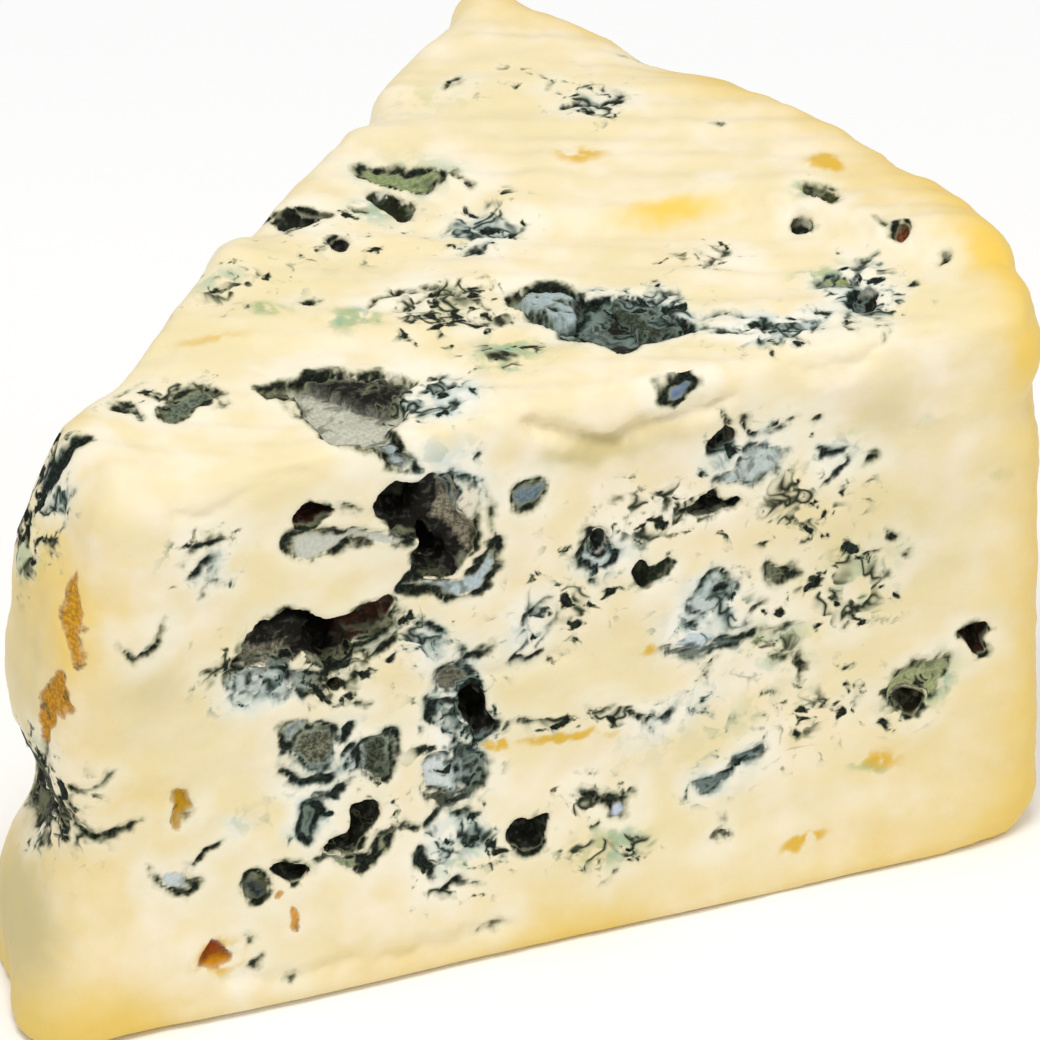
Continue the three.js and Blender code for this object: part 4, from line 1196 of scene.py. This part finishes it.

# The velvet of the patches and of the caves' linings. The linings get painted shade: black in their
# depths and where a fan of rays finds little way out, and darker in the hollows of their folds.
velvet = node("Mix", COLOURS, node("MapRange", SMOOTH, curls, 0.48, 0.34, 0, 0.6), own_tone, "#3C4334")
dusted = node("Math", MULTIPLY, at["grainy"], node("MapRange", SMOOTH, dust, 0.6, 0.42))
velvet = node("Mix", COLOURS, dusted, velvet, "#1A1A14")
flecked = node("Math", MULTIPLY, at["grainy"], node("MapRange", SMOOTH, speckle, 0.5, 0.7, 0, 0.14))
velvet = node("Mix", COLOURS, flecked, velvet, "#C9CAB8")
in_patch = node("Math", ADD, at["filled"], node("Math", MULTIPLY_ADD, speckle, 0.6, -0.3))
patch = node("MapRange", SMOOTH, in_patch, -0.1, 0.3)
in_cave = node("Math", ADD, at["bowl"], node("Math", MULTIPLY_ADD, speckle, 0.8, -0.4))
# Painted shade in the hollows of the velvet's folds, where the fold relief is low
fold_shade = node("MapRange", SMOOTH, at["fold"], 0.05, -0.35, 0, 0.6)
# Painted shade: the lining turns black where little is open to the room, and from 5 to 8 mm down
painted_cave_shade = node("MapRange", SMOOTH, at["open"], 0.2, 0.04)
painted_cave_shade = node("Math", MAXIMUM, painted_cave_shade, node("MapRange", SMOOTH, at["bowl"], 5, 8))
shaded_lining = node("Mix", COLOURS, painted_cave_shade, node("Mix", COLOURS, fold_shade, velvet, "#1C180F"), "#0A0805")

# The dark lines: the veins, the lips of the caves, the specks, and thin curly threads
mouth = node("Math", MAXIMUM, at["rim"], node("Math", MULTIPLY, at["bowl"], 0.8))
lip = node("Math", SUBTRACT, node("MapRange", SMOOTH, patchy, 0.42, 0.62, -0.5, 0.6), mouth)
line = node("Math", MAXIMUM, at["vein"], lip)
line = node("Math", ADD, line, node("Math", MULTIPLY_ADD, speckle, 0.7, -0.35))
line = node("Math", ADD, line, node("Math", MULTIPLY_ADD, curd, 1.2, -0.6))
strewn = node("Math", MULTIPLY_ADD, spots, 9, -4.5)
strewn = node("Math", ADD, strewn, node("Math", MULTIPLY_ADD, at["specks"], 1.2, -1.7))
strewn = node("Math", MINIMUM, strewn, node("Math", MULTIPLY_ADD, at["specks"], 9, -1.5))
line = node("Math", MAXIMUM, line, strewn)
allowed = node("MapRange", SMOOTH, at["specks"], 0, 0.5)
allowed = node("Math", MULTIPLY, allowed, node("MapRange", SMOOTH, patchy, 0.4, 0.52))
thread = node("Math", ABSOLUTE, node("Math", SUBTRACT, wander, 0.5))
thread = node("Math", MULTIPLY_ADD, thread, -7, 0.25)
thread = node("Math", ADD, thread, node("Math", MULTIPLY_ADD, allowed, 2, -2))
line = node("Math", MAXIMUM, line, thread)
mould = node("MapRange", SMOOTH, line, -0.08, 0.3)

# The mould's colours, greener where there is no blue
bluer = node("MapRange", SMOOTH, at["blue"], 0.1, 0.6)
dark = node("Mix", COLOURS, bluer, "#0E0F06", "#0A110E")
dark = node("Mix", COLOURS, node("MapRange", SMOOTH, dust, 0.42, 0.68, 0, 0.45), dark, "#344638")
fringe = node("Mix", COLOURS, bluer, "#9C9E7E", "#93A59C")
inner_fringe = node("Mix", COLOURS, bluer, "#4A4E30", "#3A4C44")
thinned = node("MapRange", SMOOTH, patchy, 0.35, 0.65, 0.2, 0.8)
soft_edge = node("Math", MULTIPLY, node("MapRange", SMOOTH, line, -0.85, 0.05), thinned)

# The rind is thin and dried out, ochre with grey bloom
bloom = node("Mix", COLOURS, node("MapRange", SMOOTH, curd, 0.25, 0.8), "#CFAA6C", "#DDC697")
bloom = node("Mix", COLOURS, node("MapRange", SMOOTH, broad, 0.4, 0.65, 0, 0.5), bloom, "#D9BE7C")
bloom = node("Mix", COLOURS, node("MapRange", SMOOTH, middle, 0.45, 0.8, 0, 0.5), bloom, "#B3AE98")

# The coats of colour from the lowest up: where each shows, and its colour
colour = node("Mix", COLOURS, node("MapRange", SMOOTH, middle, 0.35, 0.7), "#EFDFB4", "#F6EACF")
for share, over in (
    (node("MapRange", SMOOTH, broad, 0.42, 0.62, 0, 0.55), "#E9D9A6"),
    (node("MapRange", SMOOTH, warm, 0.25, 1.3), "#E8C766"),
    (node("MapRange", SMOOTH, at["gold"], 0.05, 1), "#F2CC5C"),
    # The olive-tan tint: painted shade under the front's overhang and on the tip, drier paste elsewhere
    (node("MapRange", SMOOTH, at["dry"], 0, 1, 0, 0.9), "#CBBB84"),
    (node("MapRange", SMOOTH, ragged, -4.5, -0.5, 0, 0.35), "#F3F1E3"),
    (node("MapRange", SMOOTH, white_zone, 0.1, 0.8, 0, 0.7), "#F4F2E6"),
    (node("MapRange", SMOOTH, blue_zone, 0.1, 0.9, 0, 0.65), "#C3D0CB"),
    (node("MapRange", SMOOTH, ghost, 0.05, 0.8, 0, 0.5), "#9DAF9A"),
    (node("MapRange", SMOOTH, green_zone, 0.1, 0.9, 0, 0.8), teal),
    (node("MapRange", SMOOTH, stain, 0.1, 0.6, 0, 0.9), "#DDB020"),
    (patch, velvet),
    (node("MapRange", SMOOTH, in_cave, 0.3, 0.8), shaded_lining),
    (soft_edge, fringe),
    (node("MapRange", SMOOTH, line, -0.35, 0.15, 0, 0.85), inner_fringe),
    (mould, dark),
    (at["rind"], bloom),
):
    colour = node("Mix", COLOURS, share, colour, over)

dull = node("Math", MAXIMUM, node("MapRange", SMOOTH, at["bowl"], 0.3, 0.8), patch)
dull = node("Math", MAXIMUM, mould, dull)
bumps = node("Math", ADD, speckle, node("Math", MULTIPLY, dust, 0.5))
finish = {
    "Base Color": colour,
    "Roughness": node("MapRange", SMOOTH, dull, 0, 1, 0.46, 0.85),
    "IOR": 1.42,
    "Specular IOR Level": 0.25,
    "Normal": node("Bump", {}, Height=bumps, Strength=0.3, Distance=0.0002),
}
node("OutputMaterial", {}, Surface=node("BsdfPrincipled", {}, **finish))
opened.materials.clear()
opened.materials.append(paste)
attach(wedge, "root")
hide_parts("cheese_wedge")

# The room: a white table in soft studio light. A long lens stands a little left of the front cut and
# well above it, as in the photograph.
CAMERA_TURN = math.radians(-19.86)
CAMERA_RISE = math.radians(33.4)
CAMERA_FAR = 1.1
CAMERA_AIM = Vector((0.0043, -0.0264, 0.051))
LENS = 294.8

table = bmesh.new()
bmesh.ops.create_grid(table, x_segments=1, y_segments=1, size=3)
table_mesh = bpy.data.meshes.new("white_table")
table.to_mesh(table_mesh)
table.free()
table = bpy.data.objects.new("white_table", table_mesh)
bpy.context.scene.collection.objects.link(table)

# Pressed laminate with a matt face, which takes a soft shadow and mirrors nothing
laminate = bpy.data.materials.new("matt white laminate")
laminate.use_nodes = True
white = laminate.node_tree.nodes["Principled BSDF"]
white.inputs["Base Color"].default_value = (*srgb("#FFFFFF"), 1)
white.inputs["Roughness"].default_value = 0.8
table_mesh.materials.append(laminate)

world = bpy.data.worlds.new("soft white room")
world.use_nodes = True
world.node_tree.nodes["Background"].inputs[0].default_value = (1, 1, 1, 1)
world.node_tree.nodes["Background"].inputs[1].default_value = 0.62
bpy.context.scene.world = world


def window_light(name, place, size, power):
    lamp = bpy.data.lights.new(name, "AREA")
    lamp.energy = power
    lamp.size = size
    made = bpy.data.objects.new(name, lamp)
    made.location = place
    made.rotation_euler = (CAMERA_AIM - Vector(place)).to_track_quat("-Z", "Y").to_euler()
    bpy.context.scene.collection.objects.link(made)


window_light("main softbox", (-0.15, -0.3, 1), 0.4, 5)
window_light("fill softbox", (0.7, -0.6, 0.5), 0.6, 0.8)

camera = bpy.data.objects.new("photograph", bpy.data.cameras.new("photograph"))
camera.data.lens = LENS
camera.data.sensor_width = 36
back = Vector(
    (
        math.sin(CAMERA_TURN) * math.cos(CAMERA_RISE),
        -math.cos(CAMERA_TURN) * math.cos(CAMERA_RISE),
        math.sin(CAMERA_RISE),
    )
)
camera.location = CAMERA_AIM + back * CAMERA_FAR
camera.rotation_euler = (-back).to_track_quat("-Z", "Y").to_euler()
bpy.context.scene.collection.objects.link(camera)
bpy.context.scene.camera = camera
bpy.context.scene.view_settings.view_transform = "Standard"
